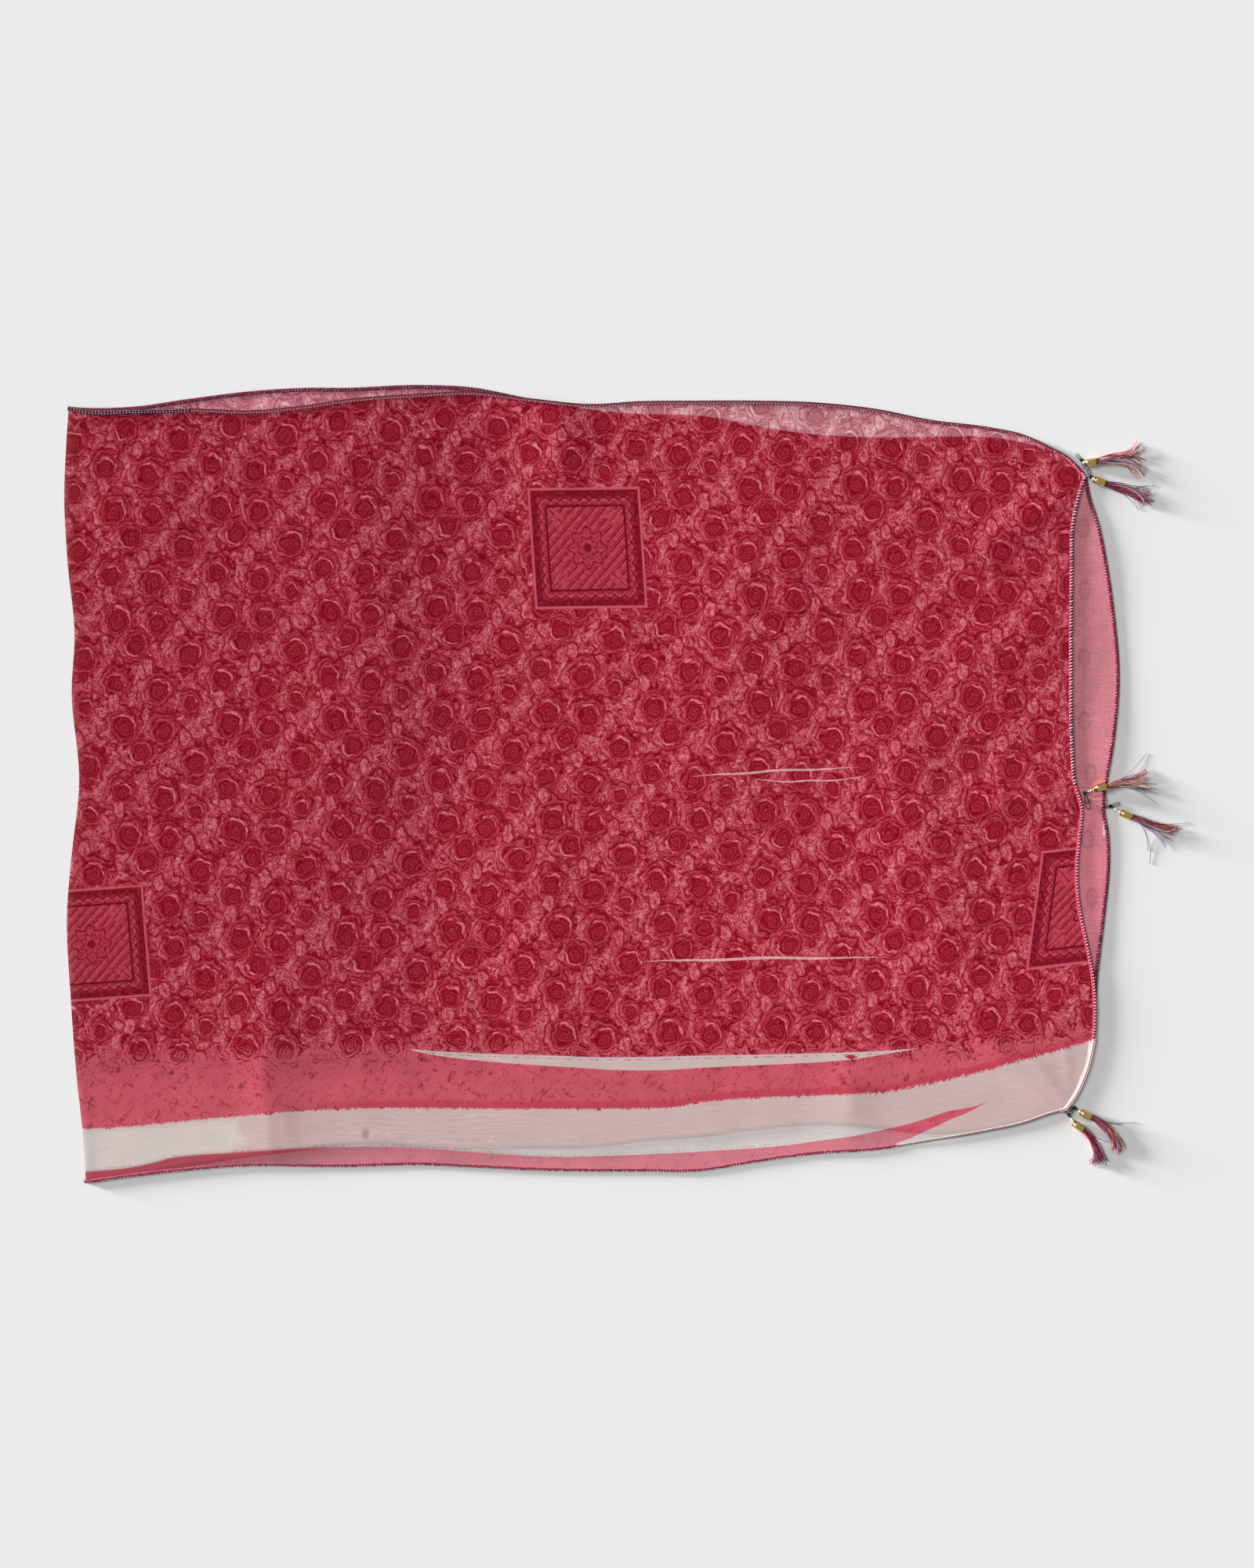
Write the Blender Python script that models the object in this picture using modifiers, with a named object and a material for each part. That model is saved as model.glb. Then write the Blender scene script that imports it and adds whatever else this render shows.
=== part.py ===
"""Wrap scarf of thin printed voile, folded in half crosswise and laid out flat.

The cloth lies on the plane z = 0. Its fold is the -X side, and its two hemmed ends lie
together on the +X side, with a tassel at each corner and in the middle of each end.
All sizes are in millimetres until a mesh is made, and +Z is up.
"""

import math
from typing import NamedTuple

import bmesh
import bpy
import numpy as np
from mathutils import Matrix, Vector

MM = 0.001
MERGE_DISTANCE = 0.00001

# Cloth: both halves are one wall thick and lie a seam apart.
WALL = 1.0
SEAM = 0.3
TURN_UNDER = 4.0
FOLD_OUTER = WALL + SEAM / 2
FOLD_INNER = SEAM / 2
UPPER_INSIDE = WALL + SEAM
UPPER_OUTSIDE = UPPER_INSIDE + WALL
FLAT_BY_FOLD = 45.0
SHARP_ANGLE = 50

# Mesh density. Points lie closer together towards the ends of each side.
ROWS = 26
COLUMNS = 40
FOLD_STEPS = 6
OUTLINE_STEPS = 44
END_CROWDING = 0.55

# Tassels: a black knot at the hem, tiny beads, a barrel bead and a head of loose strands.
KNOT_RADIUS = 1.1
THREAD_RADIUS = 0.5
TINY_BEAD_RADIUS = 1.0
TINY_BEAD_PITCH = 2.4
MOST_TINY_BEADS = 2
FIRST_TINY_BEAD = 0.6
TIE_SIDES = 6
BEAD_LENGTH = 11.5
BEAD_RADIUS = 3.4
BEAD_END_RADIUS = 2.7
BEAD_SIDES = 12
BEAD_SHOULDER = 0.1
BEAD_BELLY = 0.35
HEAD_LENGTH = 2.4
HEAD_RADIUS = 2.5
STRAND_ROWS = 3
STRAND_COLUMNS = 4
STRAND_INSET = 0.2
STRAND_STEPS = 4
STRAND_TAPER = 0.93
FLOOR_ROW = 0.75
ROW_RISE = 1.35
SHORTEST_STRAND = 0.86
REACH_WAVE = 2.4
ROOT_ROW = 0.67
OUTER_ROOT = 0.75
FLOOR_AXIS = BEAD_RADIUS + 0.2
CLOTH_AXIS = WALL + SEAM + BEAD_RADIUS + 0.1
FLOOR_KNOT = KNOT_RADIUS + 0.2
UPPER_KNOT = (UPPER_INSIDE + UPPER_OUTSIDE) / 2
CLOTH_KNOT = WALL + SEAM + KNOT_RADIUS


class LongEdge(NamedTuple):
    """Where one long side runs at a place along the scarf, on the upper and the under half."""

    x: float
    upper: float
    under: float


class OpenEnd(NamedTuple):
    """How far the two hemmed ends reach at a place across the scarf."""

    y: float
    upper: float
    under: float


class Fold(NamedTuple):
    """How far out the fold lies at a place across the scarf."""

    y: float
    x: float


class Ripple(NamedTuple):
    """A soft ridge in the upper half: its middle, its heading in degrees and its sizes."""

    x: float
    y: float
    heading: float
    length: float
    width: float
    height: float


class Tassel(NamedTuple):
    """One tassel: where its knot sits off the hem, its barrel bead, and how its strands run."""

    name: str
    knot_x: float
    knot_y: float
    knot_z: float
    bead_x: float
    bead_y: float
    axis_z: float
    heading: float
    bend: float
    fan: float
    reach: float


TOP_SIDE = [
    LongEdge(-490, 331, 331),
    LongEdge(-475, 328, 330),
    LongEdge(-433, 328, 331),
    LongEdge(-383, 329, 338),
    LongEdge(-330, 327.5, 344.5),
    LongEdge(-281, 332, 347.5),
    LongEdge(-247, 337, 347.5),
    LongEdge(-181, 342, 350),
    LongEdge(-137, 344, 348),
    LongEdge(-85, 338, 338),
    LongEdge(-32, 333, 328.5),
    LongEdge(10, 335.5, 324.5),
    LongEdge(62, 336, 323),
    LongEdge(113, 336, 314),
    LongEdge(165, 334.5, 306.5),
    LongEdge(217, 329, 304),
    LongEdge(268, 319, 304.5),
    LongEdge(316, 313, 304),
    LongEdge(350, 305.5, 298.5),
    LongEdge(371, 295.5, 293),
    LongEdge(388, 286, 282),
    LongEdge(403.5, 270, 270),
]

BOTTOM_SIDE = [
    LongEdge(-475, -350, -350),
    LongEdge(-433, -344, -343.5),
    LongEdge(-383, -338.5, -335),
    LongEdge(-330, -335, -327),
    LongEdge(-281, -335.5, -321),
    LongEdge(-247, -335.5, -316.5),
    LongEdge(-181, -334, -318.5),
    LongEdge(-137, -336, -320.5),
    LongEdge(-85, -338.5, -319.5),
    LongEdge(-32, -339.5, -319),
    LongEdge(10, -339.5, -314),
    LongEdge(62, -339.5, -310),
    LongEdge(113, -331.5, -303.5),
    LongEdge(165, -324.5, -299),
    LongEdge(217, -321, -302),
    LongEdge(268, -313, -307),
    LongEdge(316, -304.5, -303),
    LongEdge(350, -297, -295.5),
    LongEdge(371, -289.5, -289),
    LongEdge(385.5, -286, -286),
]

OPEN_ENDS = [
    OpenEnd(270, 403.5, 403.5),
    OpenEnd(255, 398.5, 406),
    OpenEnd(227, 392.5, 414.5),
    OpenEnd(189, 391.5, 422),
    OpenEnd(147, 391, 428),
    OpenEnd(96, 391, 432),
    OpenEnd(41, 391.5, 428),
    OpenEnd(-2, 395, 421),
    OpenEnd(-19, 400, 419),
    OpenEnd(-45, 398.5, 423),
    OpenEnd(-74, 396, 423.5),
    OpenEnd(-110, 398.5, 420),
    OpenEnd(-139, 404.5, 416.5),
    OpenEnd(-169, 410, 413),
    OpenEnd(-199, 412, 411.5),
    OpenEnd(-231, 409.5, 408.5),
    OpenEnd(-258, 402, 401.5),
    OpenEnd(-276, 393, 392.5),
    OpenEnd(-286, 385.5, 385.5),
]

FOLD_SIDE = [
    Fold(331, -490),
    Fold(303, -492),
    Fold(248, -494),
    Fold(193, -491),
    Fold(131, -485),
    Fold(83, -487.5),
    Fold(0, -481),
    Fold(-62, -487.5),
    Fold(-110, -491.5),
    Fold(-193, -488),
    Fold(-248, -484),
    Fold(-316, -477),
    Fold(-350, -475),
]

RIPPLES = [
    Ripple(-315, -270, 94, 190, 26, 1.0),
    Ripple(196, -285, 88, 90, 22, 0.8),
    Ripple(-60, 300, 82, 90, 24, 1.0),
    Ripple(-225, 150, 88, 420, 62, 1.3),
    Ripple(-80, -120, 97, 260, 48, 0.9),
    Ripple(95, 110, 80, 300, 55, 0.9),
    Ripple(260, -60, 101, 280, 46, 1.1),
    Ripple(350, 233, 34, 110, 18, 0.9),
    Ripple(345, -14, 176, 90, 17, 1.1),
    Ripple(345, -252, 140, 100, 18, 0.8),
    Ripple(350, -195, 2, 110, 24, 0.8),
    Ripple(-430, 235, 6, 90, 26, 0.7),
    Ripple(-425, -110, 172, 100, 28, 0.7),
    Ripple(330, 120, 12, 100, 26, 0.7),
]

TASSELS = [
    Tassel("upper_top", 398.5, 284.0, UPPER_KNOT, 400.8, 280.8, FLOOR_AXIS, 10, -20, 12, 50),
    Tassel("under_top", 407.0, 269.0, FLOOR_KNOT, 408.9, 266.9, FLOOR_AXIS, -19, 0, 11, 51),
    Tassel("upper_middle", 401.0, -8.0, CLOTH_KNOT, 409.8, -4.5, CLOTH_AXIS, 15, -24, 11, 50),
    Tassel("under_middle", 424.0, -19.5, FLOOR_KNOT, 432.7, -24.8, FLOOR_AXIS, -24, 0, 10, 51),
    Tassel("upper_bottom", 387.5, -290.0, UPPER_KNOT, 391.2, -296.7, FLOOR_AXIS, -36, -52, 10, 41),
    Tassel("under_bottom", 392.5, -284.0, FLOOR_KNOT, 397.4, -287.5, FLOOR_AXIS, -25, -46, 6, 46),
]

COLOURS = {
    "voile": ((0.33, 0.035, 0.052, 1.0), 0.85, 0.0),
    "gold": ((0.70, 0.46, 0.12, 1.0), 0.25, 1.0),
    "strands": ((0.42, 0.10, 0.18, 1.0), 0.8, 0.0),
    "black_thread": ((0.02, 0.018, 0.02, 1.0), 0.8, 0.0),
}


def clear_scene():
    """Removes every object of the scene that the script starts in."""
    for obj in list(bpy.data.objects):
        bpy.data.objects.remove(obj, do_unlink=True)


def new_collection(name):
    """A collection linked to the scene."""
    collection = bpy.data.collections.new(name)
    bpy.context.scene.collection.children.link(collection)
    return collection


def new_material(node, kind):
    """A material of its own for one node, in the colour of its kind."""
    colour, roughness, metallic = COLOURS[kind]
    material = bpy.data.materials.new(f"{node}_{kind}")
    material.use_nodes = True
    shader = material.node_tree.nodes["Principled BSDF"]
    shader.inputs["Base Color"].default_value = colour
    shader.inputs["Roughness"].default_value = roughness
    shader.inputs["Metallic"].default_value = metallic
    material.diffuse_color = colour
    return material


def new_object(name, data, collection, kind):
    """Links an object for one sub-part and gives it its material."""
    obj = bpy.data.objects.new(name, data)
    data.materials.append(new_material(name, kind))
    collection.objects.link(obj)
    return obj


def smooth(stations, values, at):
    """A smooth curve through the values at the stations, read at the places in at."""
    order = np.argsort(stations)
    known, heights = np.asarray(stations, float)[order], np.asarray(values, float)[order]
    slopes = np.gradient(heights, known)
    at = np.clip(np.asarray(at, float), known[0], known[-1])
    left = np.clip(np.searchsorted(known, at) - 1, 0, len(known) - 2)
    span = known[left + 1] - known[left]
    t = (at - known[left]) / span
    return (
        (2 * t**3 - 3 * t**2 + 1) * heights[left]
        + (t**3 - 2 * t**2 + t) * span * slopes[left]
        + (3 * t**2 - 2 * t**3) * heights[left + 1]
        + (t**3 - t**2) * span * slopes[left + 1]
    )


def side_curve(rows, along, across, count):
    """Points along one side: spaced in the column named along, read from across."""
    stations = [getattr(row, along) for row in rows]
    even = np.linspace(0, 1, count)
    crowded = even - END_CROWDING * np.sin(2 * math.pi * even) / (2 * math.pi)
    at = stations[0] + (stations[-1] - stations[0]) * crowded
    read = smooth(stations, [getattr(row, across) for row in rows], at)
    return np.stack([at, read] if along == "x" else [read, at], axis=1)


def fold_line(inwards, count):
    """The fold's outline, moved inwards."""
    line = side_curve(FOLD_SIDE, "y", "x", count)
    return line + np.array([inwards, 0.0])


def patch(top, bottom, left, right):
    """A grid of points that fills the four curves, one row for each point of left."""
    u = np.linspace(0, 1, len(top))[None, :, None]
    v = np.linspace(0, 1, len(left))[:, None, None]
    across = (1 - v) * top[None] + v * bottom[None]
    along = (1 - u) * left[:, None] + u * right[:, None]
    corners = (1 - v) * ((1 - u) * top[0] + u * top[-1]) + v * ((1 - u) * bottom[0] + u * bottom[-1])
    return across + along - corners


def relief(points):
    """Height of the ripples over the flat cloth. It dies away beside the fold."""
    x, y = points[..., 0], points[..., 1]
    height = np.zeros_like(x)
    for row in RIPPLES:
        turn = math.radians(row.heading)
        along = (x - row.x) * math.cos(turn) + (y - row.y) * math.sin(turn)
        across = (y - row.y) * math.cos(turn) - (x - row.x) * math.sin(turn)
        ends = np.exp(-((2 * along / row.length) ** 4))
        height += row.height * ends * np.exp(-((across / row.width) ** 2))
    from_fold = (x - x[:, :1]) / FLAT_BY_FOLD
    return height * np.clip(from_fold, 0, 1) ** 2


def fold_section(radius, underside, line):
    """The stretch of each row that comes from below round the fold, at one radius."""
    turns = np.linspace(1.5 * math.pi, 0.5 * math.pi, FOLD_STEPS + 1)
    x = np.concatenate([[TURN_UNDER], radius * np.cos(turns)])
    z = np.concatenate([[underside], FOLD_OUTER + radius * np.sin(turns)])
    section = np.empty((len(line), len(x), 3))
    section[..., 0] = line[:, None, 0] + x
    section[..., 1] = line[:, None, 1]
    section[..., 2] = z
    return section


def with_height(flat, height):
    """A grid of flat points lifted to the heights given."""
    return np.concatenate([flat, np.broadcast_to(height, flat.shape[:2])[..., None]], axis=2)


def wall(name, outer, inner):
    """A closed wall between two grids of points, joined round their four sides."""
    rows, columns = outer.shape[:2]
    points = np.concatenate([outer.reshape(-1, 3), inner.reshape(-1, 3)]) * MM
    index = np.arange(2 * rows * columns).reshape(2, rows, columns)
    faces = []
    for side in index:
        ring = np.stack([side[:-1, :-1], side[1:, :-1], side[1:, 1:], side[:-1, 1:]], axis=2)
        faces += ring.reshape(-1, 4).tolist()
    for edge in (np.s_[:, 0, :], np.s_[:, -1, :], np.s_[:, :, 0], np.s_[:, :, -1]):
        a, b = index[edge]
        faces += np.stack([a[:-1], a[1:], b[1:], b[:-1]], axis=1).tolist()
    mesh = bpy.data.meshes.new(name)
    mesh.from_pydata(points.tolist(), [], faces)
    shape = bmesh.new()
    shape.from_mesh(mesh)
    bmesh.ops.recalc_face_normals(shape, faces=shape.faces)
    shape.to_mesh(mesh)
    shape.free()
    mesh.shade_smooth()
    mesh.set_sharp_from_angle(angle=math.radians(SHARP_ANGLE))
    return mesh


def hem_line(half):
    """The outline of one half from the fold's top corner round the open end to the bottom."""
    top = side_curve(TOP_SIDE, "x", half, OUTLINE_STEPS)
    end = side_curve(OPEN_ENDS, "y", half, OUTLINE_STEPS)
    bottom = side_curve(BOTTOM_SIDE, "x", half, OUTLINE_STEPS)
    return np.concatenate([top, end[1:], bottom[-2::-1]])


def beside_hem(row):
    """The centre of a tassel's knot, a seam away from the nearest hem it lies beside."""
    wanted = np.array([row.knot_x, row.knot_y])
    over_cloth = row.knot_z == CLOTH_KNOT
    nearest, gap = None, math.inf
    for half in ("upper",) if over_cloth else ("upper", "under"):
        line = hem_line(half)
        run = line[1:] - line[:-1]
        share = ((wanted - line[:-1]) * run).sum(axis=1) / (run * run).sum(axis=1)
        near = line[:-1] + np.clip(share, 0, 1)[:, None] * run
        away = np.linalg.norm(near - wanted, axis=1)
        if away.min() < gap:
            nearest, gap = near[away.argmin()], away.min()
    x, y = nearest + (wanted - nearest) / gap * (KNOT_RADIUS + SEAM)
    return Vector((x, y, row.knot_z))


def make_upper_half(collection):
    """The half on top: round the fold from below, then over the under half to its hem."""
    line = fold_line(FOLD_OUTER, ROWS)
    top = side_curve(TOP_SIDE, "x", "upper", COLUMNS)
    bottom = side_curve(BOTTOM_SIDE, "x", "upper", COLUMNS)
    top[0], bottom[0] = line[0], line[-1]
    flat = patch(top, bottom, line, side_curve(OPEN_ENDS, "y", "upper", ROWS))
    rise = relief(flat)
    outer = with_height(flat, UPPER_OUTSIDE + rise)[:, 1:]
    inner = with_height(flat, UPPER_INSIDE + rise)[:, 1:]
    outer = np.concatenate([fold_section(FOLD_OUTER, 0.0, line), outer], axis=1)
    inner = np.concatenate([fold_section(FOLD_INNER, WALL, line), inner], axis=1)
    return new_object("upper_half", wall("upper_half", outer, inner), collection, "voile")


def make_under_half(collection):
    """The half below: a flat sheet from the fold's turned edge to its own hem."""
    seam = fold_line(FOLD_OUTER + TURN_UNDER + SEAM, ROWS)
    outline = np.concatenate([seam[::-1], hem_line("under")[1:-1]]) * MM
    curve = bpy.data.curves.new("under_half", "CURVE")
    curve.dimensions = "2D"
    curve.fill_mode = "BOTH"
    curve.extrude = WALL * MM / 2
    spline = curve.splines.new("POLY")
    spline.points.add(len(outline) - 1)
    for point, (x, y) in zip(spline.points, outline):
        point.co = (x, y, 0, 1)
    spline.use_cyclic_u = True
    obj = new_object("under_half", curve, collection, "voile")
    obj.location.z = WALL * MM / 2
    return obj


def turned(name, profile, sides, collection, kind):
    """A turned piece. Its profile is radius and height, from its top down to its bottom."""
    mesh = bpy.data.meshes.new(name)
    points = [(radius * MM, 0, height * MM) for radius, height in profile]
    mesh.from_pydata(points, [(i, i + 1) for i in range(len(points) - 1)], [])
    obj = new_object(name, mesh, collection, kind)
    screw = obj.modifiers.new("turn", "SCREW")
    screw.steps = screw.render_steps = sides
    screw.use_merge_vertices = True
    screw.merge_threshold = MERGE_DISTANCE
    return obj


def heading_vector(heading):
    """A level unit vector at a heading in degrees from +X."""
    return Vector((math.cos(math.radians(heading)), math.sin(math.radians(heading)), 0))


def place(obj, at, direction):
    """Puts a piece's origin at a point in millimetres, with its own Z along a direction."""
    across = Vector((0, 0, 1)).cross(direction).normalized()
    up = direction.cross(across)
    turn = Matrix((across, up, direction)).transposed().to_4x4()
    obj.matrix_world = Matrix.Translation(at * MM) @ turn


def make_tie(row, collection):
    """The black knot at the hem, its thread and the tiny beads on it."""
    knot = beside_hem(row)
    run = Vector((row.bead_x, row.bead_y, row.axis_z)) - knot
    end = run.length - SEAM
    slant = KNOT_RADIUS * math.sqrt(0.5)
    profile = [(0, end), (THREAD_RADIUS, end)]
    room = end - KNOT_RADIUS
    for k in range(min(MOST_TINY_BEADS, int(room / TINY_BEAD_PITCH))):
        middle = end - TINY_BEAD_PITCH * (k + FIRST_TINY_BEAD)
        half = TINY_BEAD_RADIUS / 2
        profile += [(TINY_BEAD_RADIUS, middle + half), (TINY_BEAD_RADIUS, middle - half)]
        profile += [(THREAD_RADIUS, middle - TINY_BEAD_RADIUS)]
    profile += [(slant, slant), (KNOT_RADIUS, 0), (slant, -slant), (0, -KNOT_RADIUS)]
    obj = turned(f"tie_{row.name}", profile, TIE_SIDES, collection, "black_thread")
    place(obj, knot, run.normalized())
    return obj


def make_bead(row, collection):
    """The gold barrel bead."""
    bulge = (BEAD_RADIUS + BEAD_END_RADIUS) / 2
    profile = [
        (0, BEAD_LENGTH),
        (BEAD_END_RADIUS, BEAD_LENGTH),
        (bulge, (1 - BEAD_SHOULDER) * BEAD_LENGTH),
        (BEAD_RADIUS, (1 - BEAD_BELLY) * BEAD_LENGTH),
        (BEAD_RADIUS, BEAD_BELLY * BEAD_LENGTH),
        (bulge, BEAD_SHOULDER * BEAD_LENGTH),
        (BEAD_END_RADIUS, 0),
        (0, 0),
    ]
    obj = turned(f"bead_{row.name}", profile, BEAD_SIDES, collection, "gold")
    place(obj, Vector((row.bead_x, row.bead_y, row.axis_z)), heading_vector(row.heading))
    return obj


def make_head(shape):
    """Fills a shape with the tassel's head along its own Z, and returns the front faces."""
    bmesh.ops.create_grid(shape, x_segments=STRAND_COLUMNS, y_segments=STRAND_ROWS, size=1)
    back = list(shape.faces)
    made = bmesh.ops.extrude_face_region(shape, geom=back, use_keep_orig=True)
    front = [item for item in made["geom"] if isinstance(item, bmesh.types.BMFace)]
    lifted = {corner for face in front for corner in face.verts}
    for corner in shape.verts:
        x, y = corner.co.x, corner.co.y
        corner.co.x = x * math.sqrt(1 - y * y / 2) * HEAD_RADIUS
        corner.co.y = y * math.sqrt(1 - x * x / 2) * HEAD_RADIUS
        corner.co.z = HEAD_LENGTH if corner in lifted else 0
    bmesh.ops.recalc_face_normals(shape, faces=shape.faces)
    bmesh.ops.inset_individual(shape, faces=front, thickness=STRAND_INSET)
    return front


def draw_strand(shape, face, row, order):
    """Draws one root face out into a strand that fans, bends and sinks to the floor."""
    middle = face.calc_center_median()
    aside, lift = middle.x / HEAD_RADIUS, middle.y / HEAD_RADIUS
    wave = math.sin(REACH_WAVE * order + row.heading)
    reach = row.reach * (1 - (1 - SHORTEST_STRAND) * (0.5 + 0.5 * wave))
    level = FLOOR_ROW + ROW_RISE * round((lift + ROOT_ROW) / ROOT_ROW) - row.axis_z
    fan = math.radians(row.fan * aside / OUTER_ROOT)
    bend = math.radians(row.bend)
    step = reach / STRAND_STEPS
    turned_by = 0.0
    place_now = middle.copy()
    for k in range(1, STRAND_STEPS + 1):
        t = k / STRAND_STEPS
        angle = fan + bend * (t - 0.5 / STRAND_STEPS)
        fall = 1 - (1 - t) ** 2
        place_next = Vector(
            (
                place_now.x + step * math.sin(angle),
                middle.y + (level - middle.y) * fall,
                place_now.z + step * math.cos(angle),
            )
        )
        spin = Matrix.Rotation(angle - turned_by, 3, "Y")
        face = bmesh.ops.extrude_discrete_faces(shape, faces=[face])["faces"][0]
        for corner in face.verts:
            corner.co = place_next + spin @ ((corner.co - place_now) * STRAND_TAPER)
        place_now, turned_by = place_next, angle


def make_tassel(row, collection):
    """The tassel's head with its strands drawn out of it as one body."""
    shape = bmesh.new()
    for order, face in enumerate(make_head(shape)):
        draw_strand(shape, face, row, order)
    shape.verts.ensure_lookup_table()
    bmesh.ops.scale(shape, vec=(MM, MM, MM), verts=shape.verts)
    bmesh.ops.recalc_face_normals(shape, faces=shape.faces)
    mesh = bpy.data.meshes.new(f"tassel_{row.name}")
    shape.to_mesh(mesh)
    shape.free()
    obj = new_object(f"tassel_{row.name}", mesh, collection, "strands")
    direction = heading_vector(row.heading)
    start = Vector((row.bead_x, row.bead_y, row.axis_z)) + direction * (BEAD_LENGTH + SEAM)
    place(obj, start, direction)
    return obj


def main():
    """Builds the scarf: two halves, and a tie, a bead and a tassel at six places."""
    clear_scene()
    collection = new_collection("wrap_scarf")
    make_upper_half(collection)
    make_under_half(collection)
    for row in TASSELS:
        make_tie(row, collection)
        make_bead(row, collection)
        make_tassel(row, collection)


main()
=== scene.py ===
"""Looks of the wrap scarf: printed voile, overlocked hems and beaded tassels.

The scarf lies flat, folded in half, on a pale floor at z = 0. Sizes are in millimetres
until a mesh is made. +X runs from the fold to the open ends, and +Z is up.
"""

import logging
import math
from dataclasses import dataclass
from enum import Enum
from typing import Iterable, Sequence, Union

import bpy
import numpy as np
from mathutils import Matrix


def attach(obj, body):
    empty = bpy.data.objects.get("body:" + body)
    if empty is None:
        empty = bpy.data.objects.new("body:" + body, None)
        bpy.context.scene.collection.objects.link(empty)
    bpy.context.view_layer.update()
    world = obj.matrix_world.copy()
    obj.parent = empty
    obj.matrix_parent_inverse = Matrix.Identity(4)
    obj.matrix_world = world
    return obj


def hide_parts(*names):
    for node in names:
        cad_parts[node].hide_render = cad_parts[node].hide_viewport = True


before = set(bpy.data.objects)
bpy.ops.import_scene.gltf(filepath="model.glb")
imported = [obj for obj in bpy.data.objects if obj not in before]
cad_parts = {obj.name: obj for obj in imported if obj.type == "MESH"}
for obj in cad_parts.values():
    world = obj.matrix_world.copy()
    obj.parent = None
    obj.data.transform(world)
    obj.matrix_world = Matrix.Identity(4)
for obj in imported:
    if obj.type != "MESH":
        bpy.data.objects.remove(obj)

log = logging.getLogger("scarf")

MM = 0.001
Rows = Sequence[Sequence[float]]
Colour = tuple[float, float, float, float]

# The laid-out edges: place along, then where the upper and the under half run.
TOP_SIDE: Rows = [
    (-490, 331, 331), (-475, 328, 330), (-433, 328, 331), (-383, 329, 338),
    (-330, 327.5, 344.5), (-281, 332, 347.5), (-247, 337, 347.5), (-181, 342, 350),
    (-137, 344, 348), (-85, 338, 338), (-32, 333, 328.5), (10, 335.5, 324.5),
    (62, 336, 323), (113, 336, 314), (165, 334.5, 306.5), (217, 329, 304),
    (268, 319, 304.5), (316, 313, 304), (350, 305.5, 298.5), (371, 295.5, 293),
    (388, 286, 282), (403.5, 270, 270),
]
BOTTOM_SIDE: Rows = [
    (-475, -350, -350), (-433, -344, -343.5), (-383, -338.5, -335), (-330, -335, -327),
    (-281, -335.5, -321), (-247, -335.5, -316.5), (-181, -334, -318.5),
    (-137, -336, -320.5), (-85, -338.5, -319.5), (-32, -339.5, -319), (10, -339.5, -314),
    (62, -339.5, -310), (113, -331.5, -303.5), (165, -324.5, -299), (217, -321, -302),
    (268, -313, -307), (316, -304.5, -303), (350, -297, -295.5), (371, -289.5, -289),
    (385.5, -286, -286),
]
OPEN_ENDS: Rows = [
    (270, 403.5, 403.5), (255, 398.5, 406), (227, 392.5, 414.5), (189, 391.5, 422),
    (147, 391, 428), (96, 391, 432), (41, 391.5, 428), (-2, 395, 421), (-19, 400, 419),
    (-45, 398.5, 423), (-74, 396, 423.5), (-110, 398.5, 420), (-139, 404.5, 416.5),
    (-169, 410, 413), (-199, 412, 411.5), (-231, 409.5, 408.5), (-258, 402, 401.5),
    (-276, 393, 392.5), (-286, 385.5, 385.5),
]
FOLD_SIDE: Rows = [
    (331, -490), (303, -492), (248, -494), (193, -491), (131, -485), (83, -487.5),
    (0, -481), (-62, -487.5), (-110, -491.5), (-193, -488), (-248, -484), (-316, -477),
    (-350, -475),
]

# The upper half's open end as y and x, and both halves' top sides as x and y.
UPPER_END: Rows = [(row[0], row[1]) for row in reversed(OPEN_ENDS)]
UPPER_TOP: Rows = [(row[0], row[1]) for row in TOP_SIDE]
UNDER_TOP: Rows = [(row[0], row[2]) for row in TOP_SIDE]

# Soft ridges of the upper half: middle, heading in degrees, length, width and height.
# The broad ones come first, and the fine ones in a second table.
RIPPLES: Rows = [
    (-315, -270, 94, 190, 26, 1.0), (196, -285, 88, 90, 22, 0.8),
    (-60, 300, 82, 90, 24, 1.0), (-225, 150, 88, 420, 62, 1.3),
    (-80, -120, 97, 260, 48, 0.9), (95, 110, 80, 300, 55, 0.9),
    (260, -60, 101, 280, 46, 1.1), (350, 233, 34, 110, 18, 0.9),
    (345, -14, 176, 90, 17, 1.1), (345, -252, 140, 100, 18, 0.8),
    (350, -195, 2, 110, 24, 0.8), (-430, 235, 6, 90, 26, 0.7),
    (-425, -110, 172, 100, 28, 0.7), (330, 120, 12, 100, 26, 0.7),
]
CREASES: Rows = [
    (-316, -278, 94, 105, 6, 0.22), (196, -268, 91, 45, 5, 0.2), (-322, -262, 80, 60, 4, 0.14),
    (150, 200, 86, 130, 8, 0.16), (-140, -180, 95, 120, 8, 0.16), (-300, -292, 100, 40, 4, 0.14),
    (330, 20, 84, 110, 8, 0.18), (-400, 60, 170, 90, 9, 0.16), (-60, 315, 80, 40, 5, 0.2),
    (372, -262, 128, 70, 4, 0.25), (385, -240, 96, 60, 4, 0.2), (330, -276, 160, 60, 5, 0.2),
    (-240, -312, 4, 90, 5, 0.2), (60, -322, 176, 110, 5, 0.2), (-430, -300, 8, 70, 6, 0.18),
]

# The turn round the fold: how far it reaches, its middle, and the edge turned under it.
FOLD_OUTER = 1.15
FOLD_MIDDLE = 0.65
TURN_UNDER = 0.5

# Heights of the cloth: the under half, the upper half on it, and where that lies alone.
UNDER_Z = 0.55
UPPER_Z = 1.85
LOOSE_Z = 0.85

# The ripples begin gradually within this distance of the fold.
FLAT_BY_FOLD = 45.0


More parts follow.
